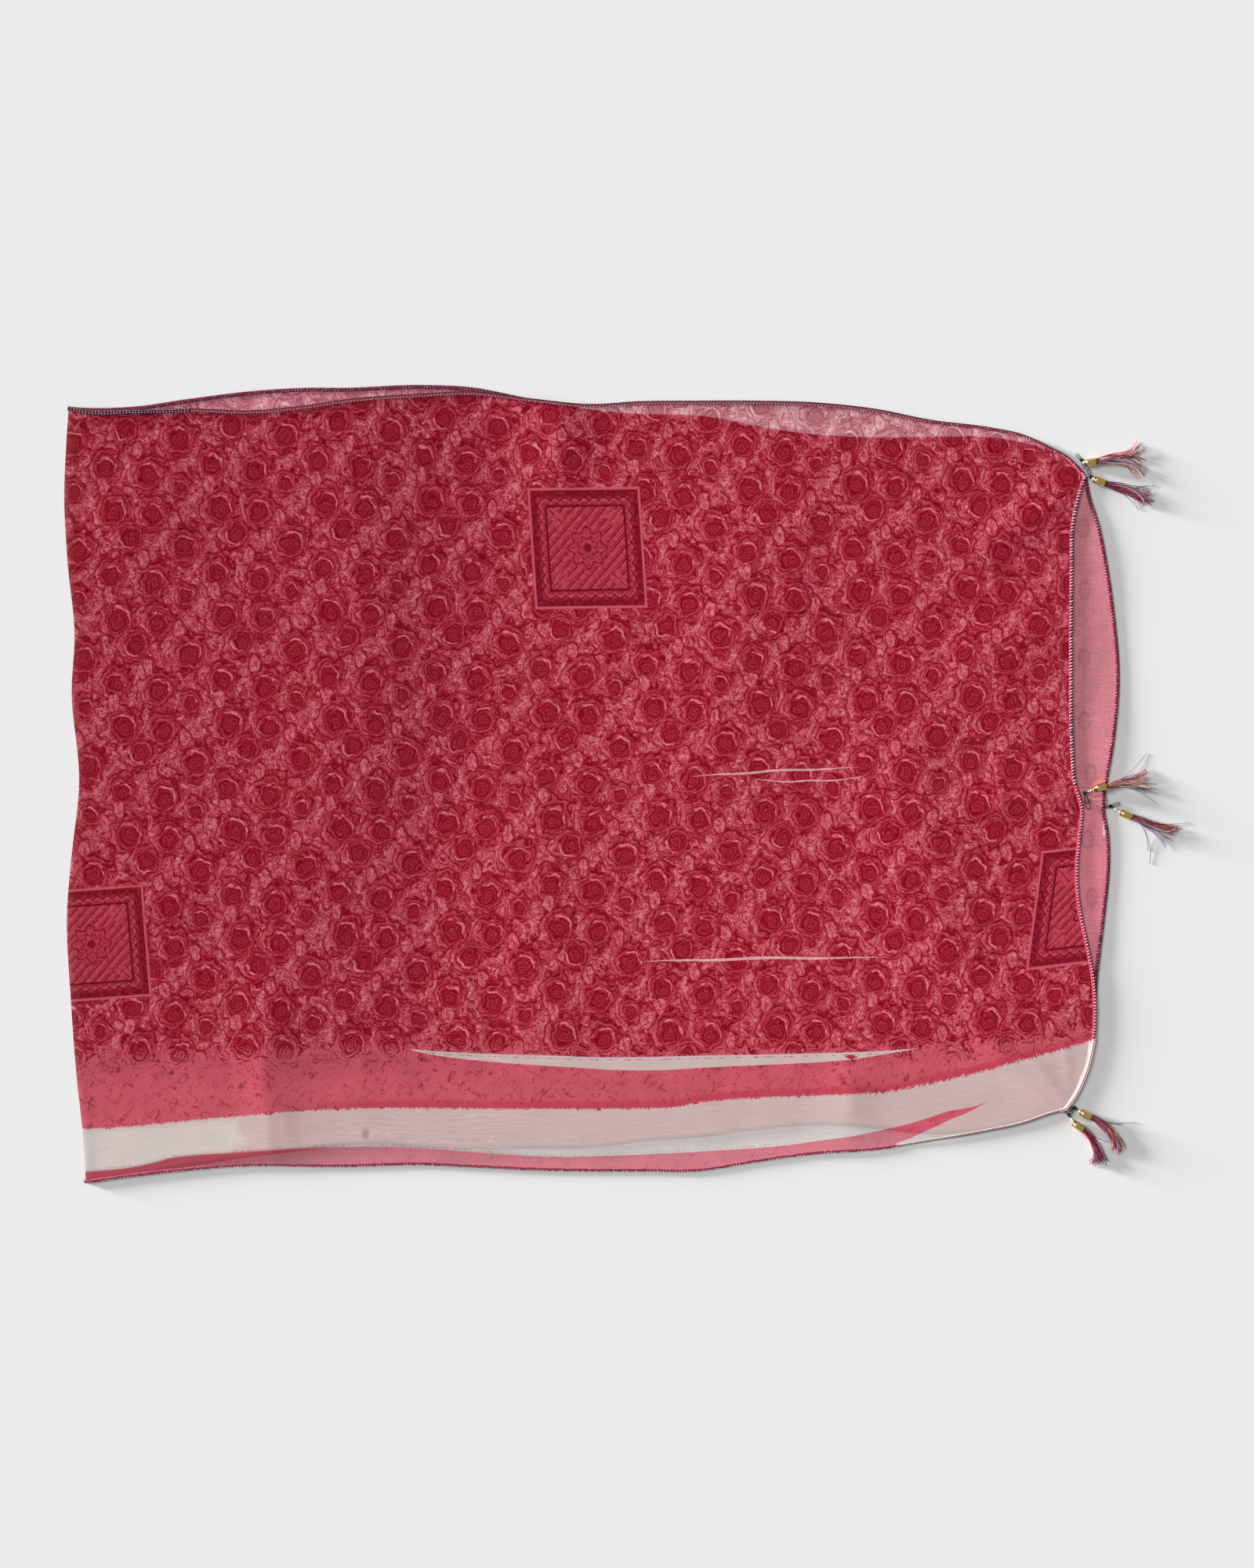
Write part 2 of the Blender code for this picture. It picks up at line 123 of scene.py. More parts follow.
class Half(Enum):
    """The two halves of the folded scarf, by their column in the tables."""

    UPPER = 1
    UNDER = 2


def srgb(red: float, green: float, blue: float) -> Colour:
    """Turns display values into a linear colour.

    Args:
        red: The red part, from 0 to 255.
        green: The green part.
        blue: The blue part.

    Returns:
        The colour.
    """
    shares = [part / 255 for part in (red, green, blue)]
    linear = [c / 12.92 if c <= 0.04045 else ((c + 0.055) / 1.055) ** 2.4 for c in shares]
    return (linear[0], linear[1], linear[2], 1.0)


def smooth(stations: Sequence[float], values: Sequence[float], at: np.ndarray) -> np.ndarray:
    """Reads a smooth curve through values at stations.

    Args:
        stations: Where the values are known, in any order.
        values: The values there.
        at: The places to read.

    Returns:
        The curve's value at each place.
    """
    order = np.argsort(stations)
    known, heights = np.asarray(stations, float)[order], np.asarray(values, float)[order]
    slopes = np.gradient(heights, known)
    at = np.clip(np.asarray(at, float), known[0], known[-1])
    left = np.clip(np.searchsorted(known, at) - 1, 0, len(known) - 2)
    span = known[left + 1] - known[left]
    t = (at - known[left]) / span
    return (
        (2 * t**3 - 3 * t**2 + 1) * heights[left]
        + (t**3 - 2 * t**2 + t) * span * slopes[left]
        + (3 * t**2 - 2 * t**3) * heights[left + 1]
        + (t**3 - t**2) * span * slopes[left + 1]
    )


def smoothstep(low: float, high: float, value: np.ndarray) -> np.ndarray:
    """A soft step from 0 at low to 1 at high."""
    t = np.clip((value - low) / (high - low), 0, 1)
    return t * t * (3 - 2 * t)


def ridges(rows: Rows, x: np.ndarray, y: np.ndarray) -> np.ndarray:
    """Sums the height of soft ridges.

    Args:
        rows: Middle x and y, heading, length, width and height of each ridge.
        x: The places along the scarf.
        y: The places across it.

    Returns:
        The height at each place.
    """
    height = np.zeros_like(x)
    for mid_x, mid_y, heading, length, width, rise in rows:
        turn = math.radians(heading)
        along = (x - mid_x) * math.cos(turn) + (y - mid_y) * math.sin(turn)
        across = (y - mid_y) * math.cos(turn) - (x - mid_x) * math.sin(turn)
        height += rise * np.exp(-((2 * along / length) ** 4)) * np.exp(-((across / width) ** 2))
    return height


def column(rows: Rows, index: int) -> list[float]:
    """One column of a table."""
    return [row[index] for row in rows]


@dataclass(frozen=True)
class Outline:
    """The edge of one half of the scarf."""

    half: Half

    def side(self, rows: Rows, along_x: bool, count: int) -> np.ndarray:
        """Evenly spaced points along one side.

        Args:
            rows: The side's table.
            along_x: True if the table's first column is x.
            count: How many points.

        Returns:
            The points, one in each row.
        """
        stations = column(rows, 0)
        at = np.linspace(stations[0], stations[-1], count)
        read = smooth(stations, column(rows, self.half.value), at)
        return np.stack([at, read] if along_x else [read, at], axis=1)

    def top(self, count: int) -> np.ndarray:
        """The long side away from the pale border."""
        return self.side(TOP_SIDE, True, count)

    def bottom(self, count: int) -> np.ndarray:
        """The long side with the pale border."""
        return self.side(BOTTOM_SIDE, True, count)

    def end(self, count: int) -> np.ndarray:
        """The open end."""
        return self.side(OPEN_ENDS, False, count)

    @staticmethod
    def fold(inwards: float, count: int) -> np.ndarray:
        """Evenly spaced points along the fold.

        Args:
            inwards: How far the points are moved into the cloth.
            count: How many points.

        Returns:
            The points, one in each row.
        """
        stations = column(FOLD_SIDE, 0)
        at = np.linspace(stations[0], stations[-1], count)
        return np.stack([smooth(stations, column(FOLD_SIDE, 1), at) + inwards, at], axis=1)

    def hem(self, step: float) -> np.ndarray:
        """The hem from the fold's top corner round the open end.

        Args:
            step: The distance between two points.

        Returns:
            The points, one in each row.
        """
        line = np.concatenate([self.top(400), self.end(260)[1:], self.bottom(400)[-2::-1]])
        run = np.concatenate([[0], np.cumsum(np.linalg.norm(np.diff(line, axis=0), axis=1))])
        at = np.linspace(0, run[-1], int(run[-1] / step) + 1)
        return np.stack([np.interp(at, run, line[:, k]) for k in range(2)], axis=1)

    def outside(self, x: np.ndarray, y: np.ndarray) -> np.ndarray:
        """How far places lie outside this half.

        Args:
            x: The places along the scarf.
            y: The places across it.

        Returns:
            The distance to the edge, less than 0 inside it.
        """
        ring = np.concatenate([self.hem(12.0), self.fold(0.0, 40)[::-1]])
        run = np.roll(ring, -1, axis=0) - ring
        shape, x, y = x.shape, x.ravel(), y.ravel()
        nearest = np.full(len(x), np.inf)
        inside = np.zeros(len(x), bool)
        for (start_x, start_y), (run_x, run_y) in zip(ring, run):
            dx, dy = x - start_x, y - start_y
            share = np.clip((dx * run_x + dy * run_y) / (run_x**2 + run_y**2 + 1e-9), 0, 1)
            nearest = np.minimum(nearest, np.hypot(dx - share * run_x, dy - share * run_y))
            crosses = (start_y > y) != (start_y + run_y > y)
            if abs(run_y) > 1e-9:
                inside ^= crosses & (dx < dy * run_x / run_y)
        return np.where(inside, -nearest, nearest).reshape(shape)


UPPER = Outline(Half.UPPER)
UNDER = Outline(Half.UNDER)


def upper_height(x: np.ndarray, y: np.ndarray) -> np.ndarray:
    """Height of the upper half's cloth. It sinks to the floor beyond the under half.

    Args:
        x: The places along the scarf.
        y: The places across it.

    Returns:
        The height at each place.
    """
    x, y = np.asarray(x, float), np.asarray(y, float)
    fold_x = smooth(column(FOLD_SIDE, 0), column(FOLD_SIDE, 1), y)
    from_fold = np.clip((x - fold_x) / FLAT_BY_FOLD, 0, 1) ** 2
    rise = ridges(RIPPLES, x, y) + ridges(CREASES, x, y)
    sink = (UPPER_Z - LOOSE_Z) * smoothstep(1.0, 12.0, UNDER.outside(x, y))
    return UPPER_Z - sink + rise * from_fold


def under_height(x: np.ndarray, y: np.ndarray) -> np.ndarray:
    """Height of the under half's cloth. It ripples a little only where it shows.

    Args:
        x: The places along the scarf.
        y: The places across it.

    Returns:
        The height at each place.
    """
    x, y = np.asarray(x, float), np.asarray(y, float)
    crease = 1.6 * np.exp(-(((y + 15) / 5) ** 2)) * smoothstep(398, 408, x)
    wave = 0.4 * np.sin(y / 31 + 1.0) * smoothstep(400, 425, x)
    return UNDER_Z + 0.35 + crease + wave - 0.35 * smoothstep(430, 300, x)


def new_piece(name: str, points: np.ndarray, faces: Sequence[Sequence[int]]) -> bpy.types.Object:
    """Links a smooth mesh object built from points in millimetres.

    Args:
        name: The piece's name.
        points: One point in each row.
        faces: Corner numbers of each face.

    Returns:
        The new object, riding on the root.
    """
    mesh = bpy.data.meshes.new(name)
    mesh.from_pydata((np.asarray(points, float) * MM).tolist(), [], [list(f) for f in faces])
    mesh.shade_smooth()
    obj = bpy.data.objects.new(name, mesh)
    bpy.context.scene.collection.objects.link(obj)
    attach(obj, "root")
    return obj


class MeshPile:
    """Gathers many small meshes with material numbers into one piece."""

    def __init__(self) -> None:
        """Starts an empty pile."""
        self.points: list[np.ndarray] = []
        self.faces: list[np.ndarray] = []
        self.slots: list[np.ndarray] = []
        self.size = 0

    def add(self, points: np.ndarray, faces: np.ndarray, slot: int) -> None:
        """Adds one small mesh.

        Args:
            points: Its points, one in each row.
            faces: The four corners of each face, counted from 0.
            slot: Its material number.
        """
        self.points.append(points)
        self.faces.append(faces + self.size)
        self.slots.append(np.full(len(faces), slot))
        self.size += len(points)

    def tube(
        self,
        path: np.ndarray,
        radii: np.ndarray | float,
        slot: int,
        sides: int = 6,
        flat: float = 1.0,
    ) -> None:
        """Adds a tube along a path.

        Args:
            path: The tube's middle line, one point in each row.
            radii: Its radius, one number or one for each point.
            slot: Its material number.
            sides: How many sides it has.
            flat: Its height as a share of its width.
        """
        path = np.asarray(path, float)
        radii = np.broadcast_to(np.asarray(radii, float), len(path))
        heading = np.gradient(path, axis=0)
        heading /= np.linalg.norm(heading, axis=1, keepdims=True) + 1e-9
        aside = np.cross(heading, [0.0, 0.0, 1.0])
        steep = np.linalg.norm(aside, axis=1, keepdims=True) < 1e-3
        aside = np.where(steep, [[1.0, 0.0, 0.0]], aside)
        aside /= np.linalg.norm(aside, axis=1, keepdims=True)
        up = np.cross(aside, heading)
        turn = np.linspace(0, 2 * math.pi, sides, endpoint=False)
        ring = (
            aside[:, None] * np.cos(turn)[None, :, None]
            + up[:, None] * np.sin(turn)[None, :, None] * flat
        )
        points = (path[:, None] + ring * radii[:, None, None]).reshape(-1, 3)
        index = np.arange(len(path) * sides).reshape(len(path), sides)
        after = np.roll(index, -1, axis=1)
        faces = np.stack([index[:-1], after[:-1], after[1:], index[1:]], axis=2).reshape(-1, 4)
        self.add(points, faces, slot)

    def ball(self, at: np.ndarray, radius: float, slot: int, sides: int = 8) -> None:
        """Adds a small ball.

        Args:
            at: Its middle.
            radius: Its radius.
            slot: Its material number.
            sides: How many sides it has.
        """
        drop = np.linspace(0.06, math.pi - 0.06, 6)
        path = np.asarray(at, float) + np.outer(np.cos(drop) * radius, [0.0, 0.0, 1.0])
        turn = np.linspace(0, 2 * math.pi, sides, endpoint=False)
        circle = np.stack([np.cos(turn), np.sin(turn), np.zeros(sides)], axis=1)
        points = path[:, None] + circle[None] * (np.sin(drop) * radius)[:, None, None]
        index = np.arange(len(path) * sides).reshape(len(path), sides)
        after = np.roll(index, -1, axis=1)
        faces = np.stack([index[:-1], index[1:], after[1:], after[:-1]], axis=2).reshape(-1, 4)
        self.add(points.reshape(-1, 3), faces, slot)

    def build(self, name: str, finishes: Iterable["Finish"]) -> bpy.types.Object:
        """Makes the piece.

        Args:
            name: The piece's name.
            finishes: Its finishes in the order of their numbers.

        Returns:
            The new object.
        """
        obj = new_piece(name, np.concatenate(self.points), np.concatenate(self.faces).tolist())
        for finish in finishes:
            obj.data.materials.append(finish.material())
        obj.data.polygons.foreach_set("material_index", np.concatenate(self.slots).astype("i"))
        return obj


Input = Union["Value", float, Sequence[float], None]


class Graph:
    """A material's node tree, in which values are worked out with arithmetic."""

    def __init__(self, tree: bpy.types.NodeTree) -> None:
        """Keeps the tree that nodes are added to."""
        self.tree = tree

    def add(
        self, kind: str, inputs: dict[int | str, Input], output: int | str = 0, **settings: object
    ) -> "Value":
        """Adds a node.

        Args:
            kind: The node's type.
            inputs: What each input is joined or set to.
            output: Which output is wanted.
            settings: Properties of the node.

        Returns:
            The value at that output.
        """
        node = self.tree.nodes.new(kind)
        for name, setting in settings.items():
            setattr(node, name, setting)
        for key, given in inputs.items():
            if isinstance(given, Value):
                self.tree.links.new(given.socket, node.inputs[key])
            elif given is not None:
                node.inputs[key].default_value = given
        return Value(self, node.outputs[output])

    def place(self) -> "Value":
        """The place on the object in millimetres."""
        at = self.add("ShaderNodeTexCoord", {}, "Object")
        return self.vector("SCALE", at, scale=1 / MM)

    def vector(self, operation: str, a: Input, b: Input = None, scale: float = 1.0) -> "Value":
        """A vector sum that gives a vector.

        Args:
            operation: The sum, as the node names it.
            a: The first vector.
            b: The second vector, where the sum has one.
            scale: The factor of a scaling.

        Returns:
            The result.
        """
        inputs: dict[int | str, Input] = {0: a, 1: b}
        if operation == "SCALE":
            inputs = {0: a, "Scale": scale}
        return self.add("ShaderNodeVectorMath", inputs, operation=operation)

    def length(self, a: "Value") -> "Value":
        """The length of a vector."""
        return self.add("ShaderNodeVectorMath", {0: a}, "Value", operation="LENGTH")

    def wrapped(self, a: "Value") -> "Value":
        """A vector whose parts are wrapped to between -0.5 and 0.5."""
        inputs = {0: a, 1: (0.5, 0.5, 0.5), 2: (-0.5, -0.5, -0.5)}
        return self.add("ShaderNodeVectorMath", inputs, operation="WRAP")

    def join(self, x: Input, y: Input, z: Input = 0.0) -> "Value":
        """A vector of three numbers."""
        return self.add("ShaderNodeCombineXYZ", {0: x, 1: y, 2: z})

    def part(self, a: "Value", axis: int) -> "Value":
        """One part of a vector."""
        return self.add("ShaderNodeSeparateXYZ", {0: a}, axis)

    def noise(self, at: "Value", scale: float, detail: float = 2.0, rough: float = 0.5) -> "Value":
        """Soft noise from 0 to 1 around 0.5, with scale in waves a millimetre."""
        inputs = {"Vector": at, "Scale": scale, "Detail": detail, "Roughness": rough}
        return self.add("ShaderNodeTexNoise", inputs, 0, noise_dimensions="2D")

    def sway(self, at: "Value", scale: float, reach: float) -> "Value":
        """Shifts the place softly.

        Args:
            at: The place.
            scale: Waves a millimetre.
            reach: Twice the largest shift.

        Returns:
            The shifted place.
        """
        inputs = {"Vector": at, "Scale": scale, "Detail": 1.0, "Roughness": 0.5}
        shift = self.add("ShaderNodeTexNoise", inputs, 1, noise_dimensions="2D")
        shift = self.vector("SUBTRACT", shift, (0.5, 0.5, 0.5))
        return self.vector("ADD", at, self.vector("SCALE", shift, scale=reach))

    def fray(self, at: "Value") -> "Value":
        """Fine noise around 0 in millimetres, which frays an edge."""
        return (self.noise(at, 0.55, 2.0, 0.7) - 0.5) * 5.0

    def cells(self, at: "Value", feature: str, output: str, spread: float = 1.0) -> "Value":
        """Cells of about one unit.

        Args:
            at: The place.
            feature: What is read, as the node names it.
            output: The output's name.
            spread: How uneven the cells are, from 0 to 1.

        Returns:
            The value at that output.
        """
        return self.add(
            "ShaderNodeTexVoronoi",
            {"Vector": at, "Scale": 1.0, "Randomness": spread},
            output,
            voronoi_dimensions="2D",
            feature=feature,
        )

    def step(self, value: Input, low: Input, high: Input) -> "Value":
        """A soft step from 0 at low to 1 at high."""
        inputs = {0: value, 1: low, 2: high, 3: 0.0, 4: 1.0}
        return self.add("ShaderNodeMapRange", inputs, interpolation_type="SMOOTHSTEP")

    def falling(self, value: Input, low: float, high: float) -> "Value":
        """A soft step from 1 at low to 0 at high."""
        return 1.0 - self.step(value, low, high)

    def mix(self, a: Input, b: Input, share: Input) -> "Value":
        """A number between a and b."""
        return self.add("ShaderNodeMix", {0: share, 2: a, 3: b}, 0, data_type="FLOAT")

    def mix_vector(self, a: Input, b: Input, share: Input) -> "Value":
        """A vector between a and b."""
        return self.add("ShaderNodeMix", {0: share, 4: a, 5: b}, 1, data_type="VECTOR")

    def mix_colour(self, a: Input, b: Input, share: Input) -> "Value":
        """A colour between a and b."""
        return self.add("ShaderNodeMix", {0: share, 6: a, 7: b}, 2, data_type="RGBA")

    def lit(self, colour: Input, share: Input) -> "Value":
        """Makes a colour darker or paler.

        Args:
            colour: The colour.
            share: The factor.

        Returns:
            The new colour.
        """
        grey = self.join(share, share, share)
        inputs = {0: 1.0, 6: colour, 7: grey}
        return self.add("ShaderNodeMix", inputs, 2, data_type="RGBA", blend_type="MULTIPLY")

    def ramp(self, value: "Value", stops: Sequence[tuple[float, Colour]]) -> "Value":
        """Reads a colour off a ramp.

        Args:
            value: Where it is read, from 0 to 1.
            stops: The place and colour of each stop.

        Returns:
            The colour.
        """
        result = self.add("ShaderNodeValToRGB", {0: value}, 0)
        elements = result.socket.node.color_ramp.elements
        while len(elements) < len(stops):
            elements.new(1.0)
        for element, (at, colour) in zip(elements, stops):
            element.position = at
            element.color = colour
        return result

    def chart(self, value: "Value", rows: Rows) -> "Value":
        """Reads a smooth curve through charted rows.

        Args:
            value: Where it is read.
            rows: The value and the result of each charted place.

        Returns:
            The result.
        """
        low, high = rows[0][0], rows[-1][0]
        floor, top = min(column(rows, 1)), max(column(rows, 1))
        span = max(top - floor, 1e-6)
        share = ((value - low) * (1 / (high - low))).clamp()
        result = self.add("ShaderNodeFloatCurve", {"Factor": 1.0, "Value": share})
        mapping = result.socket.node.mapping
        points = mapping.curves[0].points
        while len(points) < len(rows):
            points.new(0.5, 0.5)
        placed = [((row[0] - low) / (high - low), (row[1] - floor) / span) for row in rows]
        for point, place in zip(points, placed):
            point.location = place
        mapping.update()
        return result * span + floor


class Value:
    """A number or a vector in a graph."""

    def __init__(self, graph: Graph, socket: bpy.types.NodeSocket) -> None:
        """Keeps the graph and the output socket."""
        self.graph = graph
        self.socket = socket

    def math(self, operation: str, *others: Input) -> "Value":
        """A sum of this number with others.

        Args:
            operation: The sum, as the node names it.
            others: The other numbers.

        Returns:
            The result.
        """
        inputs: dict[int | str, Input] = {0: self}
        inputs.update({k + 1: other for k, other in enumerate(others)})
        return self.graph.add("ShaderNodeMath", inputs, operation=operation)

    def __add__(self, other: Input) -> "Value":
        """This plus other."""
        return self.math("ADD", other)

    __radd__ = __add__

    def __sub__(self, other: Input) -> "Value":
        """This minus other."""
        return self.math("SUBTRACT", other)

    def __rsub__(self, other: float) -> "Value":
        """other minus this."""
        return self.graph.add("ShaderNodeMath", {0: other, 1: self}, operation="SUBTRACT")

    def __mul__(self, other: Input) -> "Value":
        """This times other."""
        return self.math("MULTIPLY", other)

    __rmul__ = __mul__

    def __truediv__(self, other: Input) -> "Value":
        """This over other."""
        return self.math("DIVIDE", other)

    def clamp(self) -> "Value":
        """This number kept between 0 and 1."""
        return self.graph.add("ShaderNodeClamp", {0: self, 1: 0.0, 2: 1.0})

    def least(self, other: Input) -> "Value":
        """The smaller of two."""
        return self.math("MINIMUM", other)

    def most(self, other: Input) -> "Value":
        """The larger of two."""
        return self.math("MAXIMUM", other)

    def below(self, other: Input) -> "Value":
        """1 if this is less than other, else 0."""
        return self.math("LESS_THAN", other)

    def size(self) -> "Value":
        """This number without its sign."""
        return self.math("ABSOLUTE")

    def fraction(self) -> "Value":
        """What is left of this number past a whole one."""
        return self.math("FRACT")

    def power(self, other: float) -> "Value":
        """This to a power."""
        return self.math("POWER", other)

    def sine(self) -> "Value":
        """The sine of this angle."""
        return self.math("SINE")


@dataclass(frozen=True)
class Finish:
    """A plain finish with a little uneven colour."""

    name: str
    colour: Colour
    roughness: float = 0.7
    metallic: float = 0.0
    sheen: float = 0.0
    unevenness: float = 0.18
    grain: float = 0.6

    def material(self) -> bpy.types.Material:
        """Makes the finish's material, once.

        Returns:
            The material.
        """
        made = bpy.data.materials.get(self.name)
        if made:
            return made
        material = bpy.data.materials.new(self.name)
        material.use_nodes = True
        shader = material.node_tree.nodes["Principled BSDF"]
        shader.inputs["Roughness"].default_value = self.roughness
        shader.inputs["Metallic"].default_value = self.metallic
        shader.inputs["Sheen Weight"].default_value = self.sheen
        graph = Graph(material.node_tree)
        speckle = graph.noise(graph.place(), self.grain, 1.0)
        tint = graph.lit(self.colour, (speckle - 0.5) * (2 * self.unevenness) + 1.0)
        graph.tree.links.new(tint.socket, shader.inputs["Base Color"])
        material.diffuse_color = self.colour
        return material


PALE_THREAD = Finish("pale_thread", srgb(198, 160, 176), 0.8)
GREY_THREAD = Finish("grey_thread", srgb(132, 104, 122), 0.8)
DARK_THREAD = Finish("dark_thread", srgb(48, 18, 34), 0.9)
MAROON_THREAD = Finish("maroon_thread", srgb(96, 20, 44), 0.9)
PINK_THREAD = Finish("pink_thread", srgb(205, 132, 148), 0.8)
CRIMSON_THREAD = Finish("crimson_thread", srgb(142, 42, 66), 0.9)
CREAM_THREAD = Finish("cream_thread", srgb(170, 152, 148), 0.9)
RED_THREAD = Finish("red_thread", srgb(165, 58, 72), 0.9)
ROSE_THREAD = Finish("rose_thread", srgb(160, 68, 88), 0.9)
PLUM_THREAD = Finish("plum_thread", srgb(104, 26, 52), 0.9)
BLACK_THREAD = Finish("black_thread", srgb(24, 18, 22), 0.75)
PEARL = Finish("pearl_bead", srgb(225, 212, 205), 0.2, 0.35)
GOLD = Finish("gold_bead_metal", srgb(236, 204, 138), 0.26, 1.0, 0.0, 0.1, 0.25)
GOLD_RIM = Finish("gold_rim_metal", srgb(150, 108, 52), 0.4, 1.0, 0.0, 0.1, 0.25)
STRAND_FINISHES = (
    Finish("strand_magenta", srgb(150, 36, 64), 0.65),
    Finish("strand_lilac", srgb(186, 142, 176), 0.65),
    Finish("strand_rose", srgb(206, 104, 116), 0.65),
    Finish("strand_orange", srgb(214, 140, 72), 0.6),
    Finish("strand_blue", srgb(104, 112, 146), 0.65),
    Finish("strand_pale", srgb(224, 204, 208), 0.65),
    Finish("strand_plum", srgb(88, 44, 70), 0.7),
)
STRAND_SHARES = (0.2, 0.2, 0.16, 0.1, 0.09, 0.18, 0.07)
DARK_STRAND_SHARES = (0.28, 0.1, 0.16, 0.08, 0.12, 0.06, 0.2)
HAIR_SLOTS = (4, 6, 1)


# The rose repeat: middle x and y and the radius, then the same for the pale buds.
ROSES: Rows = [
    (-442.1, 311.6, 17.5), (-394.8, 303.7, 19.5), (-458.8, 277.4, 17.5),
    (-421.9, 272.2, 19.5), (-393.0, 260.8, 12.5), (-452.6, 239.7, 20.5),
    (-417.5, 237.0, 18.5),
]
BUDS: Rows = [
    (-429.0, 291.9, 7.5), (-459.2, 261.0, 8.0), (-397.3, 230.5, 7.5),
]
REPEAT_RIGHT = (93.0, 3.4)
REPEAT_UP = (-4.6, 94.6)

# Charted lines of the border, as x and y.
ROSE_END: Rows = [
    (-496, -237), (-344, -232.5), (-192, -228), (0, -234), (206, -230), (309, -223.5),
    (364, -218.5), (420, -206),
]
CREAM_EDGE: Rows = [
    (-496, -302.5), (-447, -301), (-412, -297.7), (-344, -291.5), (-275, -286), (-206, -284),
    (-137, -284.6), (0, -284.6), (34, -283.9), (69, -278.4), (103, -275.7), (172, -272.9),
    (227, -270), (261, -263.3), (302, -254.4), (344, -242.7), (378, -233.8), (406, -224.8),
    (420, -218.6),
]
STRIP_EDGE: Rows = [
    (-496, -341), (-447, -337.6), (-419, -332.8), (-392, -326.6), (-344, -323.1),
    (-289, -319.7), (-247, -318.3), (-206, -318.3), (-110, -324.5), (-69, -326.6),
    (0, -325.2), (69, -321.8), (137, -316.9), (162, -313.5), (199, -308.4), (223, -303.2),
    (242, -299.1), (261, -293.6), (285, -286), (303, -283), (318, -277), (420, -250),
]
STRIP_TIP: Rows = [
    (206, -337), (236, -315.6), (248, -310.8), (261, -304.6), (272, -299.8), (285, -293.6),
    (297, -288.8), (309, -282.6), (318, -276.5), (420, -200),
]
SLIVER_TOP: Rows = [
    (-192, -232.2), (-140, -235.8), (-75, -237.9), (-9, -239.6), (78, -237.9), (137, -236.9),
    (228, -233.8), (286, -225.4),
]
SLIVER_LOW: Rows = [
    (-192, -232.4), (-162, -238.6), (-118, -243.4), (-53, -247.9), (13, -250.9), (78, -247.9),
    (137, -245.4), (183, -242.7), (228, -236.4), (286, -225.2),
]


@dataclass(frozen=True)
class Panel:
    """A framed square of the print: its middle, its half-width and its half-height."""

    middle: tuple[float, float]
    across: tuple[float, float]
    up: tuple[float, float]


PANELS = (
    Panel((-34.7, 206.9), (49.1, 0.7), (-3.5, 52.9)),
    Panel((-469.6, -140.5), (48.8, 3.6), (-3.9, 48.8)),
    Panel((406.3, -105.3), (49.5, 5.8), (6.9, 52.1)),
)


@dataclass(frozen=True)
class Streak:
    """A thin unprinted line, from its left to its right end."""

    start: tuple[float, float]
    stop: tuple[float, float]
    half_width: float
    sag: float


STREAKS = (
    Streak((55, 6.0), (205, 14.2), 1.0, -1.3),
    Streak((108, 3.8), (208, 6.0), 0.7, 2.4),
    Streak((10, -156.2), (226, -152.4), 1.2, -1.4),
)


# How bright the print is made along the scarf, as x and share: darker towards the fold, brighter
# towards the open ends.
BRIGHTNESS_ALONG: Rows = [
    (-500, 0.95), (-330, 0.97), (-250, 0.93), (-170, 1.0), (0, 1.12), (250, 1.14), (420, 1.12),
]


